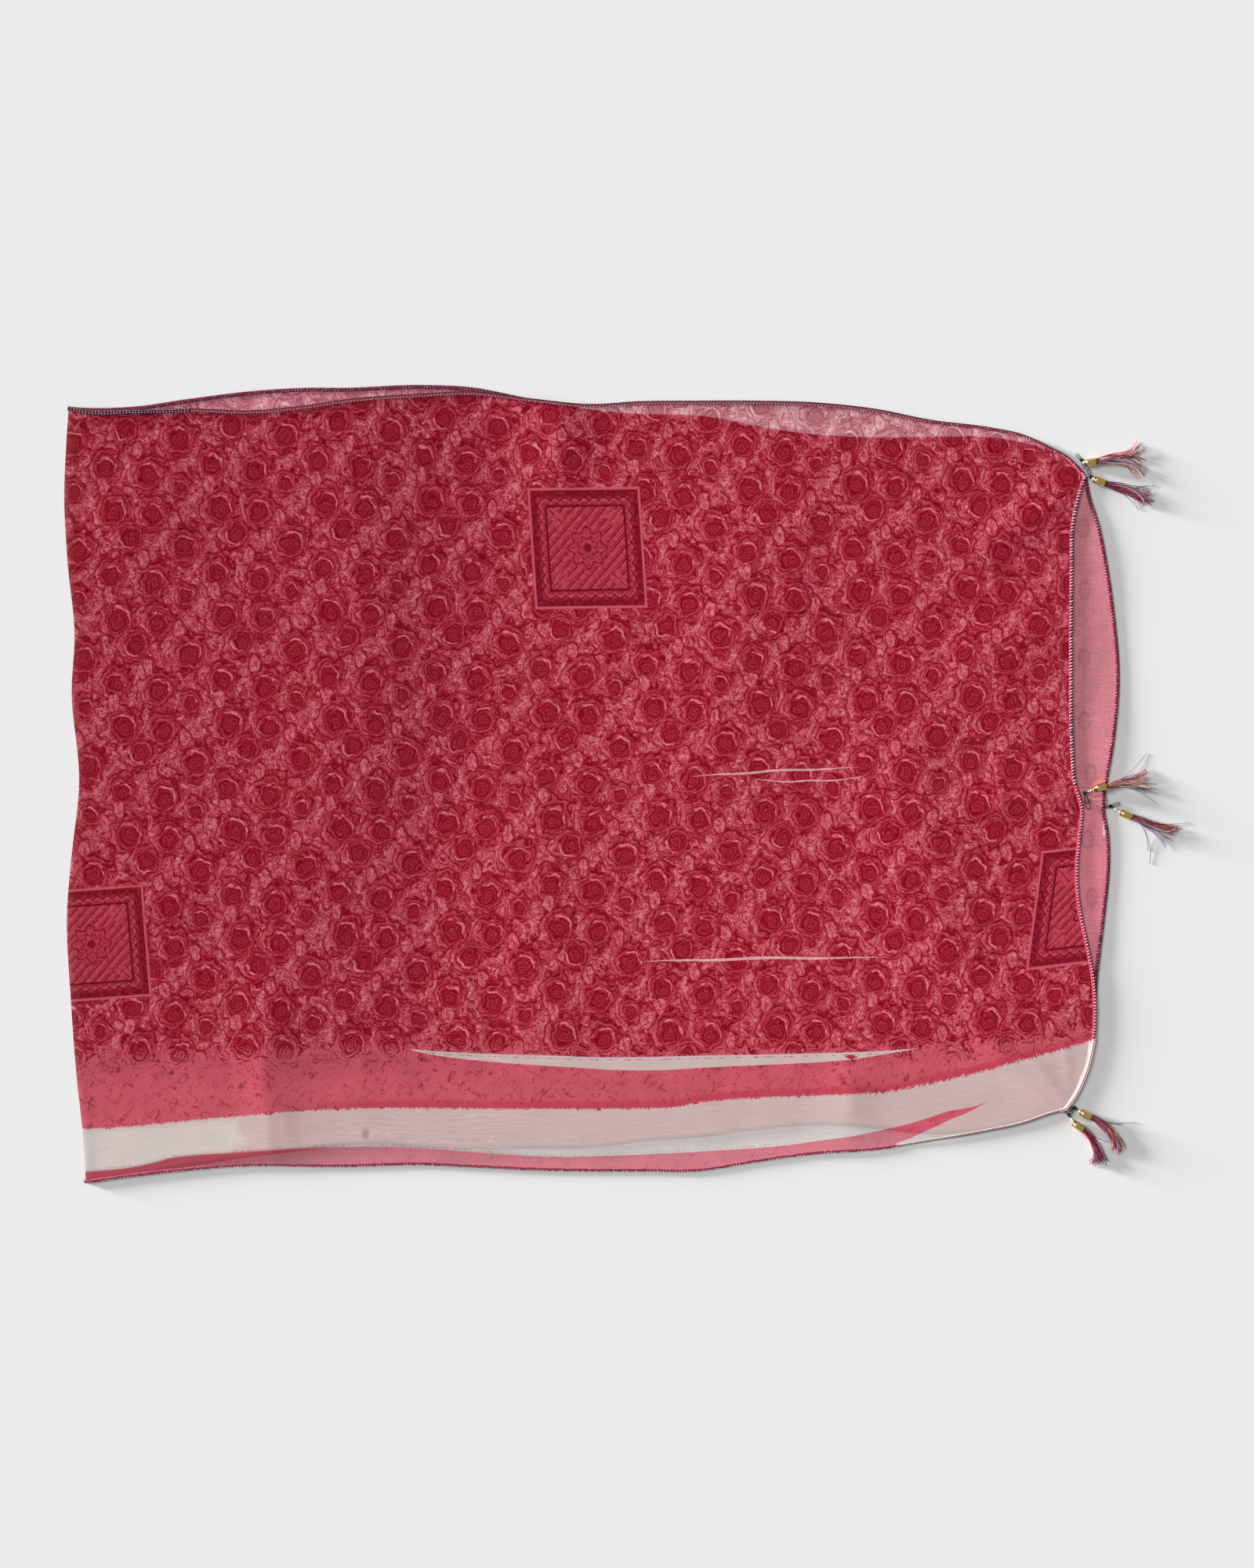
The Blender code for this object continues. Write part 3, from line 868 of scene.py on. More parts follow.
@dataclass(frozen=True)
class RoseField:
    """The repeat of roses, buds and leaves, as one tone from 0 (dark) to 1 (pale)."""

    roses: Rows = tuple(ROSES)
    buds: Rows = tuple(BUDS)

    def cell_place(self, graph: Graph, at: Value) -> Value:
        """Counts a place in repeats.

        Args:
            graph: The material's graph.
            at: The place in millimetres.

        Returns:
            The place along and across the repeats.
        """
        (ax, ay), (bx, by) = REPEAT_RIGHT, REPEAT_UP
        area = ax * by - ay * bx
        x, y = graph.part(at, 0), graph.part(at, 1)
        return graph.join(
            x * (by / area) - y * (bx / area), y * (ax / area) - x * (ay / area), 0.0
        )

    def nearest(self, graph: Graph, at: Value) -> tuple[Value, Value, Value]:
        """The nearest flower.

        Args:
            graph: The material's graph.
            at: The place in millimetres.

        Returns:
            Where the place lies from the flower's middle and how far, both in radii,
            and the flower's number.
        """
        spot = self.cell_place(graph, at)
        (ax, ay), (bx, by) = REPEAT_RIGHT, REPEAT_UP
        area = ax * by - ay * bx
        best: tuple[Value, Value, Value] | None = None
        flowers = [(*row, 1.0, 1.0) for row in self.roses]
        flowers += [(*row, 0.8, 1.35) for row in self.buds]
        for number, (x, y, radius, wide, tall) in enumerate(flowers):
            home = ((x * by - y * bx) / area, (y * ax - x * ay) / area, 0.0)
            away = graph.wrapped(graph.vector("SUBTRACT", spot, home))
            scale = (ax / radius / wide, by / radius / tall, 0.0)
            away = graph.vector("MULTIPLY", away, scale)
            reach = graph.length(away)
            if best is None:
                best = (away, reach, reach * 0.0)
                continue
            nearer = reach.below(best[1])
            best = (
                graph.mix_vector(best[0], away, nearer),
                reach.least(best[1]),
                graph.mix(best[2], float(number), nearer),
            )
        assert best is not None
        return best

    def tone(self, graph: Graph, at: Value) -> Value:
        """Draws the field.

        Args:
            graph: The material's graph.
            at: The place in millimetres.

        Returns:
            The tone.
        """
        bent = graph.sway(at, 0.11, 5.0)
        away, reach, number = self.nearest(graph, bent)
        edge_x, edge_y = graph.part(away, 0), graph.part(away, 1)
        uneven = graph.noise(at, 0.15, 0.0) - 0.5
        patches = graph.noise(bent, 0.27, 1.0) - 0.5
        tone = self.petals(graph, (away, reach, number), uneven, patches)
        bud = 0.66 - graph.falling((reach - 0.84).size(), 0.04, 0.18) * 0.36 + patches * 0.6
        bud = bud - graph.falling((edge_x + edge_y * 0.3).size(), 0.02, 0.1) * 0.2
        is_bud = number.math("GREATER_THAN", len(self.roses) - 0.5) * graph.falling(reach, 0.8, 1.0)
        tone = graph.mix(tone, bud, is_bud)
        grain = (graph.noise(at, 0.75, 1.0, 0.6) - 0.5) * 0.5
        return ((tone + grain) * 1.38 - 0.15).clamp()

    @staticmethod
    def petals(
        graph: Graph, flower: tuple[Value, Value, Value], uneven: Value, patches: Value
    ) -> Value:
        """The tone of a rose, whose petals wind out of its heart, and of the leaves round it.

        Args:
            graph: The material's graph.
            flower: The place from the rose's middle and how far, both in radii, and its number.
            uneven: Soft noise around 0 that bends the petals' lines.
            patches: Finer noise around 0 that breaks them up.

        Returns:
            The tone.
        """
        away, reach, number = flower
        lean = (1.0 - reach).most(0.0)
        away = graph.vector("SUBTRACT", away, graph.join(lean * 0.16, lean * -0.14))
        x, y = graph.part(away, 0), graph.part(away, 1)
        swirl = graph.length(away)
        angle = y.math("ARCTAN2", x)
        leaves = graph.step(reach, 0.72, 1.05)
        twist = (angle * 2.0 + swirl * 5.0 + number * 2.3).sine() * 0.26
        twist = twist + (angle * 5.0 - swirl * 7.0 + number).sine() * 0.1
        layers = swirl.power(0.75) * 5.4 + angle * (0.5 / math.pi) + twist
        layers = layers + uneven * (leaves * 2.6 + 0.7) + patches * (leaves * 0.1 + 0.3)
        layer = layers.fraction()
        line = graph.falling(layer.least(1.0 - layer), 0.02, 0.19)
        ring = graph.step(swirl, 0.44, 0.56)
        left = graph.step(x * -0.9 - y * 0.2, 0.25, 0.7) * graph.falling(reach, 0.9, 1.15)
        broken = graph.step(patches, -0.22, 0.12)
        depth = 0.32 - leaves * 0.04
        body = 0.38 + ring * 0.08 + leaves * 0.16 + left * 0.16 + (layer - 0.5) * 0.24
        body = body + patches * (ring * 0.45 + leaves * 0.15) + uneven * leaves * 0.1 - line * depth
        flip = graph.mix(-1.0, 1.0, number.math("GREATER_THAN", 0.5))
        arc = graph.falling((swirl - 0.5 - uneven * 0.16).size(), 0.02, 0.07)
        arc = arc * graph.step((y * 0.7 + x * 0.6) * flip, 0.16, 0.3)
        shaded = graph.step((y + x * 0.6).size() + patches * 0.6, 0.3, 0.9) * broken
        crescent = graph.falling((reach - 0.95 + uneven * 0.5).size(), 0.02, 0.2) * shaded
        heart = graph.falling((swirl - 0.36 + uneven * 0.3).size(), 0.03, 0.12)
        return body + arc * 0.36 - crescent * 0.44 - heart * 0.1


@dataclass(frozen=True)
class FramedPanel:
    """A framed square with a round flower and corner leaves over slanted stripes."""

    panel: Panel

    def local(self, graph: Graph, at: Value) -> tuple[Value, Value]:
        """Counts a place from the panel's middle to its edges.

        Args:
            graph: The material's graph.
            at: The place in millimetres.

        Returns:
            The place across and up the panel, from -1 to 1 each way.
        """
        (ax, ay), (bx, by) = self.panel.across, self.panel.up
        area = ax * by - ay * bx
        x = graph.part(at, 0) - self.panel.middle[0]
        y = graph.part(at, 1) - self.panel.middle[1]
        return x * (by / area) - y * (bx / area), y * (ax / area) - x * (ay / area)


class PanelPrint:
    """All framed squares, drawn once at the place of the nearest."""

    def draw(self, graph: Graph, at: Value) -> tuple[Value, Value, Value]:
        """Draws the squares.

        Args:
            graph: The material's graph.
            at: The place in millimetres.

        Returns:
            The tone, how maroon it is and where the squares lie, each from 0 to 1.
        """
        u, v = FramedPanel(PANELS[0]).local(graph, at)
        for panel in PANELS[1:]:
            other_u, other_v = FramedPanel(panel).local(graph, at)
            nearer = other_u.size().most(other_v.size()).below(u.size().most(v.size()))
            u, v = graph.mix(u, other_u, nearer), graph.mix(v, other_v, nearer)
        out = u.size().most(v.size())
        inner = 0.69
        across, up = u * (1 / inner), v * (1 / inner)
        stripe = (((across - up) * 3.6).fraction() - 0.5).size()
        stripe_too = (((across - up) * 3.6 + 0.26).fraction() - 0.5).size()
        slant = graph.falling(stripe, 0.05, 0.13) + graph.falling(stripe_too, 0.03, 0.09) * 0.8
        field = 0.64 - slant * 0.46 + graph.falling((stripe - 0.16).size(), 0.0, 0.05) * 0.12
        reach = graph.length(graph.join(across, up, 0.0))
        angle = up.math("ARCTAN2", across)
        lobes = (angle * 8.0).math("COSINE") * 0.07 + 0.44
        lobes_in = (angle * 8.0 + 3.14).math("COSINE") * 0.04 + 0.24
        clear = graph.falling(reach - lobes, 0.06, 0.1)
        flower = 0.6 - graph.falling((reach - lobes).size(), 0.01, 0.035) * 0.4
        flower = flower - graph.falling((reach - lobes_in).size(), 0.01, 0.03) * 0.35
        flower = graph.mix(flower, 0.2, graph.falling(reach, 0.09, 0.13))
        veins = graph.falling((angle * 4.0).sine().size(), 0.0, 0.16) * graph.step(reach, 0.14, 0.2)
        flower = flower - veins * graph.falling(reach - lobes, -0.08, 0.0) * 0.22
        field = graph.mix(field, flower, clear)
        corner_x, corner_y = 1.0 - across.size(), 1.0 - up.size()
        diagonal = (corner_x + corner_y) * 0.5
        leaf_side = (corner_x - corner_y).size() - (diagonal * 4.2).sine() * 0.2
        leaf_width = graph.falling(leaf_side, 0.0, 0.04)
        leaf_width = leaf_width * graph.falling(diagonal, 0.36, 0.4)
        leaf_vein = graph.falling((corner_x - corner_y).size(), 0.01, 0.035)
        field = graph.mix(field, 0.66 - leaf_vein * 0.3, leaf_width)
        field = field - graph.falling((reach - 0.62).size(), 0.01, 0.03) * clear * 0.2
        run = graph.mix(u, v, v.size().below(u.size()))
        scallop = (run * 18.0).math("COSINE").size() * 0.07 + 0.735
        band = 0.42 + graph.falling((out - scallop).size(), 0.005, 0.02) * 0.34
        band = band - graph.falling((out - scallop - 0.035).size(), 0.004, 0.016) * 0.3
        dots = graph.falling((run * 18.0).sine().size(), 0.1, 0.3)
        band = band + dots * graph.falling((out - 0.77).size(), 0.01, 0.03) * 0.3
        tone = graph.mix(field, band, graph.step(out, 0.685, 0.695))
        tone = tone - graph.falling((out - 0.695).size(), 0.008, 0.022) * 0.5
        maroon = graph.step(out, 0.845, 0.865) * graph.falling(out, 0.955, 0.965)
        tone = graph.mix(tone, 0.2, maroon)
        tone = tone + (graph.noise(at, 0.3, 2.0) - 0.5) * (maroon * 0.7 + 0.5)
        tone = graph.mix(tone, 0.84, graph.step(out, 0.955, 0.965))
        return tone.clamp(), maroon, graph.falling(out, 0.995, 1.01)


class PrintPart(Enum):
    """What a stretch of the printed cloth shows. A face's material draws only that."""

    ROSES = 0
    PANELS = 1
    STREAKS = 2
    FADING = 3
    BORDER = 4
    TOP = 5
    FOLD = 6


@dataclass(frozen=True)
class ClothShader:
    """Joins a print to a shader. Light that isn't seen directly meets a plain stand-in."""

    mean: Colour
    mean_cover: float

    @staticmethod
    def fabric(shader: bpy.types.ShaderNode) -> None:
        """Sets a shader's plain values to those of voile."""
        shader.inputs["Roughness"].default_value = 0.9
        shader.inputs["Specular IOR Level"].default_value = 0.0

    def join(self, graph: Graph, colour: Value, cover: Value | float) -> None:
        """Finishes the material.

        Args:
            graph: The material's graph.
            colour: The print's colour.
            cover: How much of what lies behind the cloth hides.
        """
        tree = graph.tree
        shader = tree.nodes["Principled BSDF"]
        self.fabric(shader)
        tree.links.new(colour.socket, shader.inputs["Base Color"])
        if isinstance(cover, Value):
            tree.links.new(cover.socket, shader.inputs["Alpha"])
        else:
            shader.inputs["Alpha"].default_value = cover
        plain = tree.nodes.new("ShaderNodeBsdfPrincipled")
        self.fabric(plain)
        plain.inputs["Base Color"].default_value = self.mean
        plain.inputs["Alpha"].default_value = self.mean_cover
        seen = graph.add("ShaderNodeLightPath", {}, "Is Camera Ray")
        both = graph.add(
            "ShaderNodeMixShader",
            {0: seen, 1: Value(graph, plain.outputs[0]), 2: Value(graph, shader.outputs[0])},
        )
        tree.links.new(both.socket, tree.nodes["Material Output"].inputs["Surface"])


ROSE_TONES = (
    (0.0, (0.21, 0.0008, 0.009, 1)),
    (0.25, (0.32, 0.0070, 0.022, 1)),
    (0.50, (0.455, 0.034, 0.060, 1)),
    (0.75, (0.61, 0.100, 0.138, 1)),
    (1.0, (0.82, 0.245, 0.290, 1)),
)
ROSE_TONES_ALONE = (
    (0.0, (0.32, 0.030, 0.055, 1)),
    (0.25, (0.44, 0.075, 0.110, 1)),
    (0.50, (0.58, 0.160, 0.205, 1)),
    (0.75, (0.70, 0.290, 0.335, 1)),
    (1.0, (0.84, 0.500, 0.540, 1)),
)
PANEL_TONES = (
    (0.0, (0.13, 0.002, 0.010, 1)),
    (0.3, (0.27, 0.008, 0.026, 1)),
    (0.6, (0.50, 0.042, 0.072, 1)),
    (1.0, (0.72, 0.150, 0.190, 1)),
)
BACK_ROSE_TONES = (
    (0.0, (0.41, 0.085, 0.132, 1)),
    (0.4, (0.58, 0.156, 0.205, 1)),
    (0.7, (0.75, 0.276, 0.336, 1)),
    (1.0, (0.93, 0.500, 0.550, 1)),
)

# Single colours of the print: the squares' frame, the lines, the border and its strip.
PANEL_FRAME = (0.24, 0.004, 0.022, 1)
STREAK_PINK = (0.84, 0.49, 0.50, 1)
BORDER_PINK = (0.64, 0.098, 0.142, 1)
BORDER_DEEP = (0.56, 0.040, 0.078, 1)
BORDER_STROKE = (0.28, 0.008, 0.025, 1)
STRIP_PINK = (0.68, 0.108, 0.162, 1)
STRIP_STROKE = (0.46, 0.03, 0.07, 1)
STRIP_BY_FOLD = (0.40, 0.062, 0.086, 1)
CREAM_PALE = (0.99, 0.885, 0.845, 1)
CREAM_WARM = (0.95, 0.80, 0.785, 1)
CREAM_SPECK = (0.42, 0.05, 0.09, 1)
CREAM_DOUBLE = (0.99, 0.92, 0.90, 1)

# Painted shade on the turn round the fold: a dark tone beside each stretch of the print.
FOLD_SHADE_ROSE = (0.05, 0.003, 0.007, 1)
FOLD_SHADE_BORDER = (0.10, 0.009, 0.016, 1)
FOLD_SHADE_CREAM = (0.20, 0.17, 0.16, 1)
FOLD_SHADE_STRIP = (0.10, 0.008, 0.016, 1)

# The wrong side, with the open end below and above the crease.
BACK_ROSE = (0.36, 0.020, 0.038, 1)
BACK_BORDER = (0.56, 0.145, 0.155, 1)
BACK_CREAM = (0.82, 0.71, 0.67, 1)
BACK_END_LOW = (0.95, 0.280, 0.345, 1)
BACK_END_HIGH = (0.75, 0.247, 0.294, 1)
BACK_TURNED = (0.90, 0.80, 0.80, 1)

# Plain stand-ins for light that isn't seen directly.
FIELD_MEAN = (0.40, 0.042, 0.068, 1)
BORDER_MEAN = (0.78, 0.46, 0.48, 1)
# The fold's stand-in is darker too, as part of its painted shade.
FOLD_SHADE_MEAN = (0.30, 0.03, 0.05, 1)
BACK_MEAN = (0.44, 0.07, 0.09, 1)


@dataclass(frozen=True)
class VoilePrint:
    """The cloth's material on the upper half: print, slubs and see-through."""

    part: PrintPart
    dyed_cover: float = 0.70
    pale_cover: float = 0.42

    def scratches(self, graph: Graph, at: Value) -> Value:
        """Short fine strokes in all directions.

        Args:
            graph: The material's graph.
            at: The place in millimetres.

        Returns:
            Where the strokes lie, from 0 to 1.
        """
        found: Value | None = None
        for turn, long, short in ((0.55, 0.03, 0.17), (-0.95, 0.03, 0.14), (2.1, 0.05, 0.12)):
            moved = graph.add(
                "ShaderNodeVectorRotate", {"Vector": at, "Angle": turn}, rotation_type="Z_AXIS"
            )
            wave = graph.noise(graph.vector("MULTIPLY", moved, (long, short, 0.0)), 1.0, 1.0)
            line = graph.falling((wave - 0.5).size(), 0.004, 0.017)
            found = line if found is None else found.most(line)
        assert found is not None
        return found * graph.step(graph.noise(at, 0.12, 2.0), 0.4, 0.56)

    def roses(self, graph: Graph, at: Value) -> Value:
        """The rose field's colour. It reads paler where one layer lies alone.

        Args:
            graph: The material's graph.
            at: The place in millimetres.

        Returns:
            The colour.
        """
        tone = RoseField().tone(graph, at)
        colour = graph.ramp(tone, ROSE_TONES)
        if self.part is not PrintPart.TOP:
            return colour
        top = graph.chart(graph.part(at, 0), UNDER_TOP)
        alone = graph.step(graph.part(at, 1) - top, -0.6, 0.8)
        return graph.mix_colour(colour, graph.ramp(tone, ROSE_TONES_ALONE), alone)

    def panels(self, graph: Graph, at: Value, colour: Value) -> Value:
        """Lays the framed squares over a colour.

        Args:
            graph: The material's graph.
            at: The place in millimetres.
            colour: The colour below them.

        Returns:
            The new colour.
        """
        tone, maroon, in_panel = PanelPrint().draw(graph, at)
        panel_colour = graph.ramp(tone, PANEL_TONES)
        panel_colour = graph.mix_colour(panel_colour, PANEL_FRAME, maroon * 0.3)
        return graph.mix_colour(colour, panel_colour, in_panel)

    def cream(self, graph: Graph, at: Value, x: Value, y: Value, slub: Value) -> Value:
        """The undyed cloth's colour.

        Args:
            graph: The material's graph.
            at: The place in millimetres.
            x: The place along the scarf.
            y: The place across it.
            slub: Unevenness of the threads around 0.

        Returns:
            The colour.
        """
        crinkle = graph.noise(graph.vector("MULTIPLY", at, (0.25, 1.0, 0.0)), 0.06, 1.0) * 30.0
        wrinkle = graph.step((y * 1.25 + crinkle).sine(), 0.78, 1.0)
        wrinkle = wrinkle * graph.falling((x + 150.0).size(), 60.0, 130.0)
        cloud = (graph.noise(at, 0.03, 2.0) - 0.5) * 0.2
        stain = graph.falling(graph.length(graph.join(x + 229.0, (y + 306.5) * 0.7)), 1.0, 5.0)
        cream = graph.mix_colour(CREAM_PALE, CREAM_WARM, cloud * 3.0 + 0.5)
        return graph.lit(cream, slub + cloud + 1.0 + wrinkle * 0.14 - stain * 0.4)

    def sliver(self, graph: Graph, at: Value, x: Value, y: Value, jag: Value) -> Value:
        """Draws the thin undyed wedge below the roses.

        Args:
            graph: The material's graph.
            at: The place in millimetres.
            x: The place along the scarf.
            y: The place across it.
            jag: Noise that frays its edges.

        Returns:
            Where it lies, from 0 to 1.
        """
        top = y - graph.chart(x, SLIVER_TOP)
        shown = graph.falling(top + jag * 0.18, -0.5, 0.5)
        shown = shown * graph.step(y - graph.chart(x, SLIVER_LOW) + jag * 0.12, -0.5, 0.5)
        shown = shown * graph.step(x, -193.0, -186.0) * graph.falling(x, 276.0, 287.0)
        diamond = ((x - 196.6).size() * 0.35 + (y + 239.3).size()).below(2.2)
        dashes = graph.falling((top + 2.2 + jag * 0.2).size(), 0.3, 0.8)
        dashes = dashes * graph.step(graph.noise(at, 0.2, 1.0), 0.48, 0.56)
        return shown * (1.0 - diamond) * (1.0 - dashes * 0.8)

    def strip(self, graph: Graph, x: Value, y: Value, jag: Value) -> tuple[Value, Value]:
        """The pink strip along the lower hem.

        Args:
            graph: The material's graph.
            x: The place along the scarf.
            y: The place across it.
            jag: Noise that frays the strip's edges.

        Returns:
            Where the strip lies from 0 to 1, and how far above its upper edge the place is.
        """
        above = y - graph.chart(x, STRIP_EDGE)
        inside = graph.falling(above + jag * 0.22, -0.5, 0.5)
        open_tip = graph.falling(y - graph.chart(x, STRIP_TIP) + jag * 0.22, -0.5, 0.5)
        open_tip = open_tip * graph.step(x, 205.0, 210.0)
        return inside * (1.0 - open_tip) * graph.falling(x, 316.0, 319.0), above

    def border(
        self, graph: Graph, at: Value, x: Value, y: Value, printed: Value | None
    ) -> tuple[Value, Value, Value]:
        """The pale border below the roses.

        Args:
            graph: The material's graph.
            at: The place in millimetres.
            x: Its first part.
            y: Its second part.
            printed: The rose field's colour, where it reaches this stretch.

        Returns:
            The colour, where the cloth is undyed and where it is turned in double by the
            open end, each from 0 to 1.
        """
        jag = graph.fray(at)
        stroke = self.scratches(graph, at)
        clouds = (graph.noise(at, 0.035, 1.0) - 0.5) * 0.3
        grain = (graph.noise(at, 0.7, 2.0, 0.7) - 0.5) * 0.3
        shade = clouds + grain + 1.0
        thread = graph.vector("MULTIPLY", at, (0.07, 1.0, 0.0))
        slub = (graph.noise(thread, 0.7, 1.0, 0.6) - 0.5) * 0.2
        above_cream = y - graph.chart(x, CREAM_EDGE)
        by_cream = graph.falling((above_cream - 3.5).size(), 1.0, 5.5)
        by_cream = by_cream * graph.step(x, -320.0, -200.0)
        colour = graph.lit(BORDER_PINK, shade + slub * 0.5)
        colour = graph.mix_colour(colour, BORDER_DEEP, by_cream * 0.75)
        colour = graph.mix_colour(colour, BORDER_STROKE, stroke * 0.8)
        bare: Value | None = None
        if printed is not None:
            soft_jag = (graph.noise(at, 0.09, 1.0) - 0.5) * 16.0
            grey = graph.add("ShaderNodeRGBToBW", {0: printed})
            sketched = graph.falling(grey, 0.06, 0.11) * 15.0
            in_band = graph.falling(
                y - graph.chart(x, ROSE_END) + soft_jag + jag + sketched, -7.0, 8.0
            )
            colour = graph.mix_colour(printed, colour, in_band)
            bare = self.sliver(graph, at, x, y, jag)
        hairs = graph.noise(graph.vector("MULTIPLY", at, (1.2, 0.28, 0.0)), 0.75, 1.0)
        reach = graph.step(x, 150.0, 260.0) * 4.5 + 3.2
        ragged = (hairs - 0.5) * reach + jag * 0.17 + stroke * 1.6
        undyed = graph.falling(above_cream + ragged, -0.6, 0.6)
        in_strip, above_strip = self.strip(graph, x, y, jag)
        strip_colour = graph.lit(STRIP_PINK, shade + slub)
        strip_colour = graph.mix_colour(strip_colour, STRIP_STROKE, stroke * 0.6)
        near_fold = graph.falling(x, -330.0, -210.0)
        strip_colour = graph.mix_colour(strip_colour, STRIP_BY_FOLD, near_fold * 0.8)
        colour = graph.mix_colour(colour, strip_colour, in_strip)
        pale = undyed * (1.0 - in_strip)
        if bare is not None:
            pale = pale.most(bare)
        cream = self.cream(graph, at, x, y, slub)
        specks = graph.falling((above_strip - 1.6 + jag * 0.5).size(), 0.3, 1.4)
        specks = specks * graph.step(hairs, 0.5, 0.56) * graph.falling(x, 120.0, 170.0)
        edge_line = graph.falling((above_strip - 0.3).size(), 0.3, 0.9)
        edge_line = edge_line * graph.falling(x, -140.0, 0.0)
        cream = graph.mix_colour(cream, CREAM_SPECK, specks.most(edge_line) * 0.5)
        from_end = x - graph.chart(y, UPPER_END)
        double = graph.step(from_end, -5.6, -4.6) * graph.falling(y, -222.0, -214.0)
        cream = graph.mix_colour(cream, CREAM_DOUBLE, double * 0.8)
        return graph.mix_colour(colour, cream, pale), pale, double

    def fold(self, graph: Graph, y: Value) -> Value:
        """The painted shade on the cloth's turn round the fold: a dark tone for each stretch.

        Args:
            graph: The material's graph.
            y: The place across the scarf.

        Returns:
            The colour.
        """
        colour = graph.mix_colour(FOLD_SHADE_ROSE, FOLD_SHADE_BORDER, graph.falling(y, -246.0, -238.0))
        colour = graph.mix_colour(colour, FOLD_SHADE_CREAM, graph.falling(y, -303.0, -301.0))
        return graph.mix_colour(colour, FOLD_SHADE_STRIP, graph.falling(y, -341.0, -339.0))

    def build(self) -> bpy.types.Material:
        """Makes the material.

        Returns:
            The material.
        """
        material = bpy.data.materials.new(f"voile_{self.part.name.lower()}")
        material.use_nodes = True
        graph = Graph(material.node_tree)
        at = graph.place()
        x, y = graph.part(at, 0), graph.part(at, 1)
        # The turn round the fold is drawn as painted shade.
        if self.part is PrintPart.FOLD:
            ClothShader(FOLD_SHADE_MEAN, 0.9).join(graph, self.fold(graph, y), 0.9)
            return material
        colour = None if self.part is PrintPart.BORDER else self.roses(graph, at)
        cover: Value | float = self.dyed_cover
        if self.part is PrintPart.PANELS:
            colour = self.panels(graph, at, colour)
        elif self.part is PrintPart.STREAKS:
            jag = graph.fray(at)
            lines = [self.streak(graph, streak, x, y, jag) for streak in STREAKS]
            pale = lines[0]
            for line in lines[1:]:
                pale = pale.most(line)
            pale = pale * (0.62 + graph.noise(at, 0.12, 1.0) * 0.5)
            colour = graph.mix_colour(colour, STREAK_PINK, pale)
        elif self.part in (PrintPart.FADING, PrintPart.BORDER):
            colour, pale, double = self.border(graph, at, x, y, colour)
            cover = graph.mix(self.dyed_cover, self.pale_cover + double * 0.4, pale)
        # The print is made darker towards the fold and a little darker towards the top side.
        brightness = graph.chart(x, BRIGHTNESS_ALONG) * (1.0 - y * 0.00016)
        mean, mean_cover = FIELD_MEAN, self.dyed_cover
        if self.part is PrintPart.BORDER:
            mean, mean_cover = BORDER_MEAN, 0.52
            brightness = 1.0 + (brightness - 1.0) * 0.4
        ClothShader(mean, mean_cover).join(graph, graph.lit(colour, brightness), cover)
        return material

    @staticmethod
    def streak(graph: Graph, streak: Streak, x: Value, y: Value, jag: Value) -> Value:
        """Draws one thin unprinted line.

        Args:
            graph: The material's graph.
            streak: The line.
            x: The place along the scarf.
            y: The place across it.
            jag: Noise that frays its edges.

        Returns:
            Where it lies, from 0 to 1.
        """
        (x0, y0), (x1, y1) = streak.start, streak.stop
        share = (x - x0) * (1 / (x1 - x0))
        bulge = (share * (1.0 - share) * 4.0).clamp()
        middle = share * (y1 - y0) + y0 - bulge * streak.sag + (share * 15.0).sine() * 0.5
        width = bulge * streak.half_width
        lying = ((y - middle + jag * 0.25).size() - width).below(0.0)
        return lying * graph.step(share, 0.0, 0.02) * graph.falling(share, 0.98, 1.0)

    @staticmethod
    def parts_at(x: np.ndarray, y: np.ndarray) -> np.ndarray:
        """Sorts places by what the print shows there.

        Args:
            x: The places along the scarf.
            y: The places across it.

        Returns:
            The part's number at each place.
        """
        rose_end = np.interp(x, column(ROSE_END, 0), column(ROSE_END, 1))
        parts = np.zeros(x.shape, int)
        for streak in STREAKS:
            near_x = (x > streak.start[0] - 6) & (x < streak.stop[0] + 6)
            parts[near_x & (np.abs(y - streak.start[1]) < 14)] = PrintPart.STREAKS.value
        for panel in PANELS:
            (ax, ay), (bx, by) = panel.across, panel.up
            area = ax * by - ay * bx
            dx, dy = x - panel.middle[0], y - panel.middle[1]
            u, v = (dx * by - dy * bx) / area, (dy * ax - dx * ay) / area
            parts[np.maximum(np.abs(u), np.abs(v)) < 1.12] = PrintPart.PANELS.value
        parts[(y > 280) & (UNDER.outside(x, y) > -8)] = PrintPart.TOP.value
        parts[y < rose_end + 26] = PrintPart.FADING.value
        parts[y < rose_end - 26] = PrintPart.BORDER.value
        return parts


class WrongSidePart(Enum):
    """What a stretch of the under half is: covered cloth, or a strip that shows."""

    COVERED = 0
    SHOWN = 1


